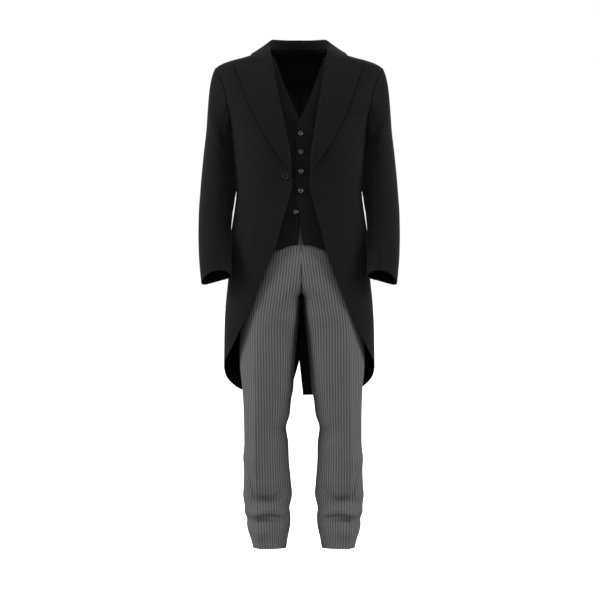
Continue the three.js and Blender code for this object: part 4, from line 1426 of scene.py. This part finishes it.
leg_outer, leg_inner, leg_front, leg_back, leg_toe = curves(table("height outer inner front back toe", [
    [-480, 164, -164, 100, 96.3, 0],
    [TROUSER_TOP, 166, -166, 100, 97.6, 0],
    [-550, 170, -150, 101, 102, 3],
    [-600, 176, -112, 102, 110, 9],
    [-650, 180, -72, 108, 117, 15],
    [-690, 182.5, -38, 106, 120, 18],
    [-720, 183.5, -15, 105, 118, 20],
    [FORK, 184, 1, 103, 114, 20],
    [-790, 184, 6, 100, 109, 20],
    [-845, 183, 13, 98, 105, 20],
    [-910, 183.5, 20, 97, 101, 19],
    [-954, 182, 24, 96, 98, 19],
    [-1019, 176, 28, 92, 94, 19.5],
    [-1049, 174.3, 34, 91, 92, 19],
    [-1090, 173, 37.5, 89, 90, 18.5],
    [-1131, 172.6, 46.5, 87, 88, 17.5],
    [-1172, 172.5, 43.7, 85, 86, 18.5],
    [-1226, 174.5, 42.5, 82, 82, 20],
    [-1276, 174.5, 38.7, 80, 79, 22],
    [-1314, 174, 37.5, 78, 78, 23],
    [-1370, 174, 37.5, 77, 78, 23],
    [-1413, 168.5, 40, 77, 78, 22],
    [-1454, 157, 48, 78, 78, 20],
    [HEM, 149, 53, 80, 78, 19],
]), "height")
fork_fullness = graph("height power", [
    [-560, 0.8],
    [-620, 0.52],
    [-700, 0.37],
    [-745, 0.3],
    [-800, 0.32],
    [-850, 0.42],
    [-1000, 0.62],
    [-1150, 0.9],
    [-1300, 1],
])
crease_size = graph("height size", [
    [-560, 0],
    [-690, 4],
    [-800, 9],
    [-1000, 11],
    [-1230, 13],
    [-1320, 6],
    [HEM, 6],
])

INNER_SQUARENESS = 2.4
crease_thread = dict(zip((1, -1), curves(table("height front back", [
    [-480, 99, 84],
    [-560, 104, 76],
    [-600, 108, 70],
    [-650, 113, 63],
    [-690, 118.5, 58],
    [-745, 127, 54],
    [-800, 134, 56],
    [-850, 137, 60],
    [-954, 137.5, 68],
    [-1172, 137.5, 76],
    [-1300, 137, 72],
    [-1370, 136, 70],
    [-1413, 134, 70],
    [-1500, 129, 72],
]), "height")))

LEG_FOLDS = table(FOLD, [
    [-1140, 175, -5, 26, 50],
    [-1215, 60, 4, 24, 40],
    [-1292, 95, 3, 24, 55],
    [-1342, 100, -5, 17, 60],
    [-1374, 90, 8, 13, 60],
    [-1400, 95, -10, 12, 65],
    [-1440, 90, 5, 18, 60],
    [-1330, 20, 5, 26, 40],
    [-1375, 0, -5, 18, 45],
    [-1330, 200, 4, 24, 45],
    [-1370, 215, -5, 18, 45],
    [-1300, 270, 4, 26, 50],
    [-1352, 268, -4, 20, 55],
    [-1100, 250, -3, 40, 40],
    [-1160, 285, 3, 34, 40],
    [-800, 120, 3, 26, 26],
])
LEG_MARKS = table(MARK, [
    [147, -1336, 172, -1236, 3, 4.5, 5.5],
    [140, -1322, 160, -1236, 3, 8, -2.6],
    [48, -1290, 150, -1322, -34, 16, -11],
    [54, -1312, 148, -1342, -34, 8, 5],
    [40, -1262, 62, -1316, -6, 6, 2.0],
    [60, -1392, 138, -1386, 7, 6, -6.5],
    [60, -1370, 130, -1366, 6, 8, 2.6],
    [122, -1396, 138, -1402, 0, 5, -2.8],
    [150, -1330, 168, -1396, -5, 8, -2.4],
    [4, -700, 70, -770, 6, 12, 2.0],
    [2, -735, 60, -820, 6, 10, -2.4],
    [8, -652, 60, -700, 5, 12, -1.4],
    [40, -1128, 92, -1112, 4, 14, 1.6],
])


def leg_surface(turn, height):
    """The leg's oval, 0 at the outside, 90 at the front crease and 180 at the inside."""
    turn, height = np.broadcast_arrays(np.asarray(turn, float), np.asarray(height, float))
    outer, inner = leg_outer(height), leg_inner(height)
    middle, half_width = (outer + inner) / 2, (outer - inner) / 2
    (sine, cosine), toe = sine_cosine(turn), np.radians(leg_toe(height))
    front, back = leg_front(height), leg_back(height)
    swung = (front + back) / 2 * np.sin(toe)
    across = np.sqrt(half_width ** 2 - swung ** 2) / np.cos(toe)
    from_crease = np.abs(np.abs((turn + 540) % 360 - 180) - 90)
    ridge = crease_size(height) * np.exp(-from_crease / CREASE_SPREAD)
    fold = folded(LEG_FOLDS, height, turn)
    power = np.where((turn > 90) & (turn < 180), fork_fullness(height), 1)
    full, cosine_full = signed_power(sine, power), signed_power(cosine, power)
    sideways = across * cosine_full
    forward = np.where(sine > 0, front, back) * full + np.sign(sine) * ridge
    turned_out = np.sin(toe) * np.abs(sine) ** (INNER_SQUARENESS * (1 - power))
    slant = np.where(sine > 0, HEM_SLANT_FRONT * sine, -HEM_SLANT_BACK * sine)
    x = middle + sideways * np.cos(toe) + forward * turned_out + fold * cosine
    y = sideways * np.sin(toe) - forward * np.cos(toe) - fold * sine
    z = height + slant * ease((height - HEM_SLANT_STARTS) / (HEM - HEM_SLANT_STARTS))
    return np.stack([x, y, z], axis=-1)


def leg_wall(turn, drop):
    """The same surface read downwards, so that its outward side is the outside of the leg."""
    return leg_surface(turn, -drop)


def centre_turn(height, towards):
    """The turn at which a leg reaches the centre line, in front (1) or behind (-1)."""
    outside, inside = np.zeros_like(height), np.full_like(height, 180.0)
    for _ in range(BISECTIONS):
        turn = (outside + inside) / 2
        apart = leg_surface(turn * towards, height)[..., 0] > CENTRE_CLEARANCE
        outside, inside = np.where(apart, turn, outside), np.where(apart, inside, turn)
    return np.where(height <= FORK, 180.0, outside) * towards


def trouser_places(towards, across, heights):
    """From the centre line or inseam, over the crease, to the outseam."""
    start = centre_turn(heights, towards)
    free = ease((heights - CREASE_PLACED) / (CREASE_FREE - CREASE_PLACED))
    crest = mix(90.0 * towards, start / 2, free)
    u = across[None, :]
    inner = mix(start[:, None], crest[:, None], u * 2)
    outer = mix(crest[:, None], 0.0, u * 2 - 1)
    turns = np.where(u < 0.5, inner, outer)
    places = line(turns, -heights[:, None])
    return places[:, ::-1] if towards > 0 else places


def trouser_panel(node, towards):
    heights = np.concatenate([
        np.linspace(TROUSER_TOP, FORK, THIGH_ROWS),
        np.linspace(FORK, CALF, KNEE_ROWS)[1:],
        np.linspace(CALF, HEM, SHIN_ROWS)[1:],
    ])
    points, normals = lay(leg_wall, trouser_places(towards, shares(*TROUSER_COLUMNS), heights))
    hem_rise = points[..., 2] - points[-1:, :, 2]
    reliefs = [
        strokes(points, normals, LEG_MARKS, -towards),
        stitching([hem_rise], inset=38, width=1.4, depth=0.3),
    ]
    panel(node, "trouser_cloth", TROUSER_WORSTED, (points, normals), ("left", "right", "bottom"), reliefs,
          thread=crease_thread[towards], rests_on=[piece_name(f"trouser_waistband_{node.split('_')[-1]}")])


def waistband(node):
    heights = mix(WAISTBAND_TOP, TROUSER_TOP, shares(WAISTBAND_ROWS, WAISTBAND_TOP - TROUSER_TOP))
    starts, ends = centre_turn(heights, -1), centre_turn(heights, 1)
    turns = mix(starts[:, None], ends[:, None], shares(*WAISTBAND_COLUMNS)[None, :])
    panel(node, "trouser_cloth", TROUSER_WORSTED, lay(leg_wall, line(turns, -heights[:, None])), ("top",),
          butted=("left", "right", "top"), rests_on=HELD_UP)


# Buttons and buttonholes

BUTTON_SIDES = 48
TOUCHING_GAP = 0.3
FRONT_BUTTON_OFFSET = 38.5
FRONT_BUTTON_HEIGHT = -397
BUTTONHOLE_HEIGHT = -392
BACK_BUTTON_ANGLE = 166
BACK_BUTTON_HEIGHT = -449
COAT_CLOTH_BUILT = 2.4
WAISTCOAT_CLOTH_BUILT = 2.0
COAT_BUTTON = {
    "mesh": "turned_coat_button", "finish": "coat_button_horn",
    "diameter": 21, "thickness": 4.5, "lift": COAT_CLOTH_BUILT / 2 + TOUCHING_GAP + 0.3,
}
BACK_BUTTON = {
    "mesh": "turned_back_button", "finish": "coat_button_horn",
    "diameter": 20, "thickness": 4.5, "lift": COAT_CLOTH_BUILT / 2 + TOUCHING_GAP + 0.9,
}
WAISTCOAT_BUTTON = {
    "mesh": "turned_waistcoat_button", "finish": "waistcoat_button_resin",
    "diameter": 14.5, "thickness": 4, "lift": WAISTCOAT_CLOTH_BUILT / 2 + TOUCHING_GAP,
}
WAISTCOAT_BUTTONS = table("height offset side", [
    [-276, 2, LEFT],
    [-328, 2, LEFT],
    [-383, 1.5, LEFT],
    [-439, 1, LEFT],
    [-499, 15, RIGHT],
])
HOLE_SPREAD = 0.1875
HOLE_RADIUS = 0.085
DRILL_SIDES = 16
SHARP_EDGE = 40
STRAND_SIDES = 8
STRAND_ASIDE = np.array([0.13, 0.21, 0.97])
THREAD_RADIUS = 0.24
THREAD_APART = 0.28
THREAD_STEPS = 15
THREAD_RISE = 0.42
THREAD_SINK = 1.2
THREAD_ENDS = 0.46
DISH_SHARE = 0.72


def tube(path, radius):
    """The vertices and faces of a round strand along points, closed if its ends meet."""
    path = np.asarray(path, float)
    closed = np.allclose(path[0], path[-1])
    spine = path[:-1] if closed else path
    if closed:
        tangent = unit(np.roll(spine, -1, axis=0) - np.roll(spine, 1, axis=0))
    else:
        tangent = unit(np.gradient(spine, axis=0))
    aside = unit(np.cross(tangent, STRAND_ASIDE))
    up = np.cross(tangent, aside)
    turn = np.linspace(0, math.tau, STRAND_SIDES, endpoint=False)[None, :, None]
    rings = spine[:, None] + radius * (aside[:, None] * np.cos(turn) + up[:, None] * np.sin(turn))
    index = np.arange(len(spine) * STRAND_SIDES).reshape(-1, STRAND_SIDES)
    if closed:
        index = np.concatenate([index, index[:1]])
    current, following = index[:-1], index[1:]
    corners = [current, np.roll(current, -1, axis=1), np.roll(following, -1, axis=1), following]
    lengths = np.concatenate([[0], np.cumsum(np.linalg.norm(np.diff(spine, axis=0), axis=1))])
    cut = line(turn[..., 0] * radius, lengths[:, None])
    return rings.reshape(-1, 3), np.stack(corners, axis=-1).reshape(-1, 4), cut.reshape(-1, 2)


def strand_piece(name, strands, slot):
    """One mesh of several silk strands, in millimetres of the part's frame."""
    starts = np.cumsum([0] + [len(ring_points) for ring_points, _, _ in strands])
    vertices = np.concatenate([ring_points * MM for ring_points, _, _ in strands])
    faces = np.concatenate([quads + start for (_, quads, _), start in zip(strands, starts)])
    piece = new_mesh(name, vertices, faces, ["buttonhole_silk"])
    set_cut(piece.data, np.concatenate([cut for _, _, cut in strands]))
    dress(piece, slot)
    return piece


BUTTON_PROFILE = table("radius height", [
    [0, 0],
    [0.62, 0],
    [0.8, 0.06],
    [0.94, 0.25],
    [1, 0.5],
    [0.985, 0.72],
    [0.93, 0.92],
    [0.87, 1],
    [0.8, 0.99],
    [0.73, 0.86],
    [0.66, 0.74],
    [0.5, 0.7],
    [0.25, 0.72],
    [0, 0.72],
])


def built(name, bm):
    """A mesh from what was built in a bmesh."""
    mesh = bpy.data.meshes.new(name)
    bm.to_mesh(mesh)
    bm.free()
    return mesh


def button_body(size):
    """A turned button with a rim, a dish and four holes."""
    radius, thickness = size["diameter"] / 2 * MM, size["thickness"] * MM
    bm = bmesh.new()
    rings = []
    for r, z in zip(BUTTON_PROFILE["radius"] * radius, BUTTON_PROFILE["height"] * thickness):
        if r == 0:
            rings.append([bm.verts.new((0, 0, z))])
        else:
            angles = [math.tau * k / BUTTON_SIDES for k in range(BUTTON_SIDES)]
            rings.append([bm.verts.new((r * math.cos(a), r * math.sin(a), z)) for a in angles])
    for low, high in zip(rings[:-1], rings[1:]):
        for k in range(BUTTON_SIDES):
            after = (k + 1) % BUTTON_SIDES
            corners = [(low, k), (low, after), (high, after), (high, k)]
            bm.faces.new(list(dict.fromkeys(ring[place % len(ring)] for ring, place in corners)))
    mesh = built(size["mesh"], bm)
    mesh.materials.append(finish_named(size["finish"]))
    body = linked(size["mesh"], mesh)
    drills = linked(f"{size['mesh']}_drills", button_drills(radius, thickness))
    cut = body.modifiers.new("holes", "BOOLEAN")
    cut.operation, cut.object, cut.solver = "DIFFERENCE", drills, "EXACT"
    bpy.context.view_layer.update()
    done = bpy.data.meshes.new_from_object(body.evaluated_get(bpy.context.evaluated_depsgraph_get()))
    bpy.data.objects.remove(body)
    bpy.data.objects.remove(drills)
    done.polygons.foreach_set("use_smooth", np.ones(len(done.polygons), bool))
    done.set_sharp_from_angle(angle=math.radians(SHARP_EDGE))
    done.name = size["mesh"]
    return done


def hole_places(radius):
    spread = radius * HOLE_SPREAD
    return [(spread * x, spread * y) for x in (-1, 1) for y in (-1, 1)]


def button_drills(radius, thickness):
    """Four rods that cut a button's holes."""
    bm = bmesh.new()
    for x, y in hole_places(radius):
        made = bmesh.ops.create_cone(bm, cap_ends=True, segments=DRILL_SIDES, radius1=radius * HOLE_RADIUS,
                                     radius2=radius * HOLE_RADIUS, depth=thickness * 3)
        bmesh.ops.translate(bm, verts=made["verts"], vec=(x, y, thickness / 2))
    return built("drills", bm)


def button_thread(radius, thickness):
    """The stitches through a button's holes, as strands in millimetres about its middle."""
    places = np.array(hole_places(radius))
    share = np.linspace(0, 1, THREAD_STEPS)
    sunk = THREAD_SINK * (np.abs(share - 0.5) > THREAD_ENDS)
    height = thickness * DISH_SHARE + THREAD_RISE * np.sin(math.pi * share) ** 0.5 - sunk
    strands = []
    for first, last in ((0, 3), (1, 2)):
        start, run = places[first], places[last] - places[first]
        aside = unit(np.array([-run[1], run[0]])) * THREAD_APART
        for offset in (-aside, aside):
            flat = start + run * share[:, None] + offset
            strands.append(tube(np.column_stack([flat, height]), THREAD_RADIUS))
    return strands


def seat_matrix(surface, across, along, lift, garment, side):
    """The place of something round that lies on a surface, facing outwards."""
    normal = outward(surface, across, along)
    seat = worn(surface(across, along) + normal * lift, garment, side)
    facing = Vector((side * normal[0], normal[1], normal[2])).normalized()
    sideways = Vector((0, 0, 1)).cross(facing).normalized()
    up = facing.cross(sideways)
    turned = Matrix((sideways, up, facing)).transposed().to_4x4()
    turned.translation = Vector(seat)
    return turned


def button(node, size, surface, across, along, side):
    """A button and its thread, seated on its cloth."""
    shared = bpy.data.meshes.get(size["mesh"]) or button_body(size)
    garment = garment_of(node)
    seat = seat_matrix(surface, across, along, size["lift"], garment, side)
    mesh = shared.copy()
    mesh.transform(seat)
    dress(linked(piece_name(node, "turned"), mesh), f"{garment}_button", node)
    strands = button_thread(size["diameter"] / 2, size["thickness"])
    thread = strand_piece(piece_name(node, "thread"), strands, f"{garment}_button")
    thread.data.transform(seat)


HOLE_HALF_WIDTH = 1.3
HOLE_STRAND = 0.55
HOLE_SHARPNESS = 40
COAT_HOLE = {"offset": 51, "length": 24}
WAISTCOAT_HOLE = {"offset": 9, "length": 17}


def buttonhole(name, surface, height, offset, length, inset=0):
    """A worked buttonhole: a slit edged all round with silk."""
    garment = garment_of(name)
    ply = size(f"{garment}_cloth")

    def raised(beside, z, rise):
        angle = front_angle(offset + beside, z, inset)
        return surface(angle, z) + outward(surface, angle, z) * rise

    turns = np.linspace(0, math.tau, 65)
    straight_half = length / 2 - HOLE_HALF_WIDTH
    across = np.cos(turns) * HOLE_HALF_WIDTH + np.clip(np.cos(turns) * HOLE_SHARPNESS, -1, 1) * straight_half
    ring = raised(across, height + np.sin(turns) * HOLE_HALF_WIDTH, ply / 2 + HOLE_STRAND * 0.4)
    ring[-1] = ring[0]
    along = np.clip(across, -straight_half, straight_half)
    spine = raised(along, np.full_like(turns, height), ply / 2 + 0.05)
    inner = mix(ring, spine, 0.45)
    strands = [tube(worn(path, garment, LEFT) / MM, radius)
               for path, radius in ((ring, HOLE_STRAND), (inner, HOLE_STRAND * 0.8))]
    strand_piece(name, strands, f"{garment}_cloth")


# What a user may change

class SuitSizes(PropertyGroup):
    """The cloths and small measures of the suit."""

    coat_cloth: length(name="Coat cloth", description="Wall of the coat, lining included", default=0.0022)
    lapel_cloth: length(name="Lapel cloth", description="Wall of the lapels and collar", default=0.002)
    welt_cloth: length(name="Welt cloth", description="Wall of the breast welt", default=0.0014)
    waistcoat_cloth: length(name="Waistcoat cloth", description="Wall of the waistcoat", default=0.0018)
    trouser_cloth: length(name="Trouser cloth", description="Wall of the trousers", default=0.0014)
    seam_depth: length(name="Seam depth", description="How far cloth sinks at a seam", default=0.001)
    seam_width: length(name="Seam width", description="How far from a seam the cloth sinks", default=0.0026)
    stripe_repeat: length(name="Stripe repeat", description="Between light stripes", default=0.0082)


class SuitColours(PropertyGroup):
    """The colours of the suit and its stage."""

    coat: tint(name="Coat", description="Coat wool", default=(0.0068, 0.0068, 0.0069))
    waistcoat: tint(name="Waistcoat", description="Waistcoat wool", default=(0.0052, 0.0052, 0.0053))
    lining: tint(name="Lining", description="Lining satin", default=(0.002, 0.002, 0.0021))
    ground: tint(name="Trousers", description="Trouser ground", default=(0.077, 0.077, 0.077))
    dark_stripe: tint(name="Dark stripe", description="Dark thread stripe", default=(0.034, 0.034, 0.034))
    light_stripe: tint(name="Light stripe", description="Light thread stripe", default=(0.138, 0.138, 0.138))
    coat_button: tint(name="Coat buttons", description="Coat button horn", default=(0.006, 0.006, 0.006))
    waistcoat_button: tint(
        name="Waistcoat buttons", description="Polished resin", default=(0.012, 0.012, 0.0123))
    silk: tint(name="Silk", description="Thread and buttonhole silk", default=(0.003, 0.003, 0.003))
    floor: tint(name="Floor", description="Studio floor", default=(0.88, 0.88, 0.88))


# Stage

FLOOR_HEIGHT = -1.572
FLOOR_SIZE = 60.0
FLOOR_GLOW = 1.15
ROOM_LIGHT = 0.68
# Each lamp's place in metres, its power in watts and its width
LAMPS = {
    "side_left": ((-3.7, -1.2, 0.6), 170, 1.8),
    "side_right": ((3.7, -1.2, 0.6), 140, 1.8),
    "front_top": ((-0.4, -3.5, 2.7), 34, 2.4),
    "back": ((0.8, 3.6, 1.6), 110, 2.0),
}
LAMP_AIM = Vector((0, 0, -0.7))
CAMERA_DISTANCE = 4.0
CAMERA_SIDE = 0.003
CAMERA_HEIGHT = -0.671
PHOTO_SIZE = 600
FOCAL_PIXELS = 1356
HORIZON_PIXELS = 28
SENSOR = 36.0


class SUIT_OT_stage(Operator):
    """Makes the floor, the lights and the camera at the photograph's angle"""

    bl_idname = "suit.stage"
    bl_label = "Stage"

    def execute(self, context):
        scene = context.scene
        scene.view_settings.view_transform = "Standard"
        scene.view_settings.look = "None"
        self.lay_floor()
        self.light(scene)
        self.place_camera(scene)
        return {"FINISHED"}

    def lay_floor(self):
        half = FLOOR_SIZE / 2
        corners = [(-half, -half), (half, -half), (half, half), (-half, half)]
        vertices = np.array([(x, y, FLOOR_HEIGHT) for x, y in corners])
        floor = new_mesh("studio_floor", vertices, np.array([[0, 1, 2, 3]]), ["studio_floor"])
        floor.visible_diffuse = False
        floor.visible_glossy = False

    def light(self, scene):
        world = bpy.data.worlds.new("studio")
        scene.world = world
        world.use_nodes = True
        tree = world.node_tree
        background = tree.nodes["Background"]
        background.inputs["Color"].default_value = (1, 1, 1, 1)
        seen = tree.nodes.new("ShaderNodeLightPath").outputs["Is Camera Ray"]
        strength = tree.nodes.new("ShaderNodeMapRange")
        strength.inputs["To Min"].default_value = ROOM_LIGHT
        strength.inputs["To Max"].default_value = 1.0
        tree.links.new(seen, strength.inputs["Value"])
        tree.links.new(strength.outputs["Result"], background.inputs["Strength"])
        for name, (place, power, width) in LAMPS.items():
            lamp = bpy.data.lights.new(name, "AREA")
            lamp.energy, lamp.size = power, width
            lamp_object = linked(name, lamp)
            lamp_object.location = place
            aim = LAMP_AIM - Vector(place)
            lamp_object.rotation_euler = aim.to_track_quat("-Z", "Y").to_euler()

    def place_camera(self, scene):
        camera = bpy.data.cameras.new("camera")
        camera.sensor_width = SENSOR
        camera.lens = FOCAL_PIXELS / PHOTO_SIZE * SENSOR
        camera_object = linked("camera", camera)
        camera_object.location = (CAMERA_SIDE, -CAMERA_DISTANCE, CAMERA_HEIGHT)
        tilt = math.atan(HORIZON_PIXELS / FOCAL_PIXELS)
        camera_object.rotation_euler = (math.pi / 2 - tilt, 0, 0)
        scene.camera = camera_object


# Pieces of the suit

class SUIT_OT_coat_body(Operator):
    """Makes the coat's foreparts, sidebodies, backs and skirts"""

    bl_idname = "suit.coat_body"
    bl_label = "Coat body"

    def execute(self, context):
        for word, side in SIDES:
            forepart = f"coat_forepart_{word}"
            coat_panel(forepart, forepart_places(side), ("bottom", "top", "right"), COAT_MARKS, HELD_UP,
                       lambda points: under_lapel(points, side))
            coat_panel(f"coat_sidebody_{word}", sidebody_places(), ("bottom", "left", "right"), COAT_MARKS,
                       [piece_name(forepart)])
            coat_panel(f"coat_back_{word}", back_places(side), ("top", "left", "right"),
                       COAT_MARKS + [SKIRT_BACK_MARKS], HELD_UP)
            coat_panel(f"coat_skirt_{word}", skirt_places(side), ("top", "right"), SKIRT_MARKS,
                       [piece_name(forepart)], hung_free)
        return {"FINISHED"}


class SUIT_OT_sleeves(Operator):
    """Makes the two-piece sleeves"""

    bl_idname = "suit.sleeves"
    bl_label = "Sleeves"

    def execute(self, context):
        for word, _ in SIDES:
            sleeve_panel(f"coat_top_sleeve_{word}", SLEEVE_SEAM_BEHIND - 360, SLEEVE_SEAM_IN_FRONT,
                         TOP_SLEEVE_COLUMNS)
            sleeve_panel(f"coat_under_sleeve_{word}", SLEEVE_SEAM_IN_FRONT, SLEEVE_SEAM_BEHIND,
                         UNDER_SLEEVE_COLUMNS)
        return {"FINISHED"}


class SUIT_OT_lapels(Operator):
    """Makes the peak lapels, the collar and the breast welt"""

    bl_idname = "suit.lapels"
    bl_label = "Lapels, collar and welt"

    def execute(self, context):
        for word, side in SIDES:
            lapel(side, word)
        collar()
        breast_welt()
        return {"FINISHED"}


class SUIT_OT_waistcoat(Operator):
    """Makes the waistcoat's fronts and backs"""

    bl_idname = "suit.waistcoat"
    bl_label = "Waistcoat"

    def execute(self, context):
        for word, side in SIDES:
            back = f"waistcoat_back_{word}"
            waistcoat_panel(f"waistcoat_front_{word}", waistcoat_surface[side], waistcoat_front_places(side),
                            ("top", "right"), "waistcoat_wool", [piece_name(back)])
            waistcoat_panel(back, waistcoat_surface[LEFT], waistcoat_back_places(),
                            ("top", "left", "right"), "lining_satin", HELD_UP)
        return {"FINISHED"}


class SUIT_OT_trousers(Operator):
    """Makes the striped trousers and their waistband"""

    bl_idname = "suit.trousers"
    bl_label = "Trousers"

    def execute(self, context):
        for word, _ in SIDES:
            trouser_panel(f"trouser_front_{word}", 1)
            trouser_panel(f"trouser_back_{word}", -1)
            waistband(f"trouser_waistband_{word}")
        return {"FINISHED"}


class SUIT_OT_buttons(Operator):
    """Makes the buttons, their thread and the buttonholes"""

    bl_idname = "suit.buttons"
    bl_label = "Buttons and buttonholes"

    def execute(self, context):
        for word, side in SIDES:
            button(f"coat_button_back_{word}", BACK_BUTTON, coat_surface, BACK_BUTTON_ANGLE,
                   BACK_BUTTON_HEIGHT, side)
        front = float(front_angle(FRONT_BUTTON_OFFSET, FRONT_BUTTON_HEIGHT))
        button("coat_button_front", COAT_BUTTON, coat_surface, front, FRONT_BUTTON_HEIGHT, RIGHT)
        buttonhole("coat_buttonhole_silk", coat_surface, BUTTONHOLE_HEIGHT, **COAT_HOLE)
        rows = zip(*WAISTCOAT_BUTTONS.values())
        for number, (height, offset, side) in enumerate(rows, start=1):
            inset = float(waistcoat_inset(height))
            angle = float(front_angle(offset, height, inset))
            button(f"waistcoat_button_{number}", WAISTCOAT_BUTTON, waistcoat_surface[side], angle,
                   height, side)
            buttonhole(f"waistcoat_buttonhole_silk_{number}", waistcoat_surface[LEFT], height,
                       **WAISTCOAT_HOLE, inset=inset)
        return {"FINISHED"}


class SUIT_PT_panel(Panel):
    """Lists what makes the suit, with its sizes and colours"""

    bl_idname = "SUIT_PT_panel"
    bl_label = "Morning suit"
    bl_space_type = "VIEW_3D"
    bl_region_type = "UI"
    bl_category = "Suit"

    def draw(self, context):
        for operator in OPERATORS:
            self.layout.operator(operator.bl_idname)
        for group in (context.scene.suit_sizes, context.scene.suit_colours):
            column = self.layout.column()
            for name in group.bl_rna.properties.keys():
                if name not in ("rna_type", "name"):
                    column.prop(group, name)


OPERATORS = (
    SUIT_OT_stage,
    SUIT_OT_coat_body,
    SUIT_OT_sleeves,
    SUIT_OT_lapels,
    SUIT_OT_waistcoat,
    SUIT_OT_trousers,
    SUIT_OT_buttons,
)
CLASSES = (SuitSizes, SuitColours, *OPERATORS, SUIT_PT_panel)


def register():
    for kind in CLASSES:
        bpy.utils.register_class(kind)
    bpy.types.Scene.suit_sizes = PointerProperty(type=SuitSizes)
    bpy.types.Scene.suit_colours = PointerProperty(type=SuitColours)


def unregister():
    del bpy.types.Scene.suit_colours
    del bpy.types.Scene.suit_sizes
    for kind in reversed(CLASSES):
        bpy.utils.unregister_class(kind)


def main():
    register()
    for operator in OPERATORS:
        group, name = operator.bl_idname.split(".")
        getattr(getattr(bpy.ops, group), name)()


if __name__ == "__main__":
    main()
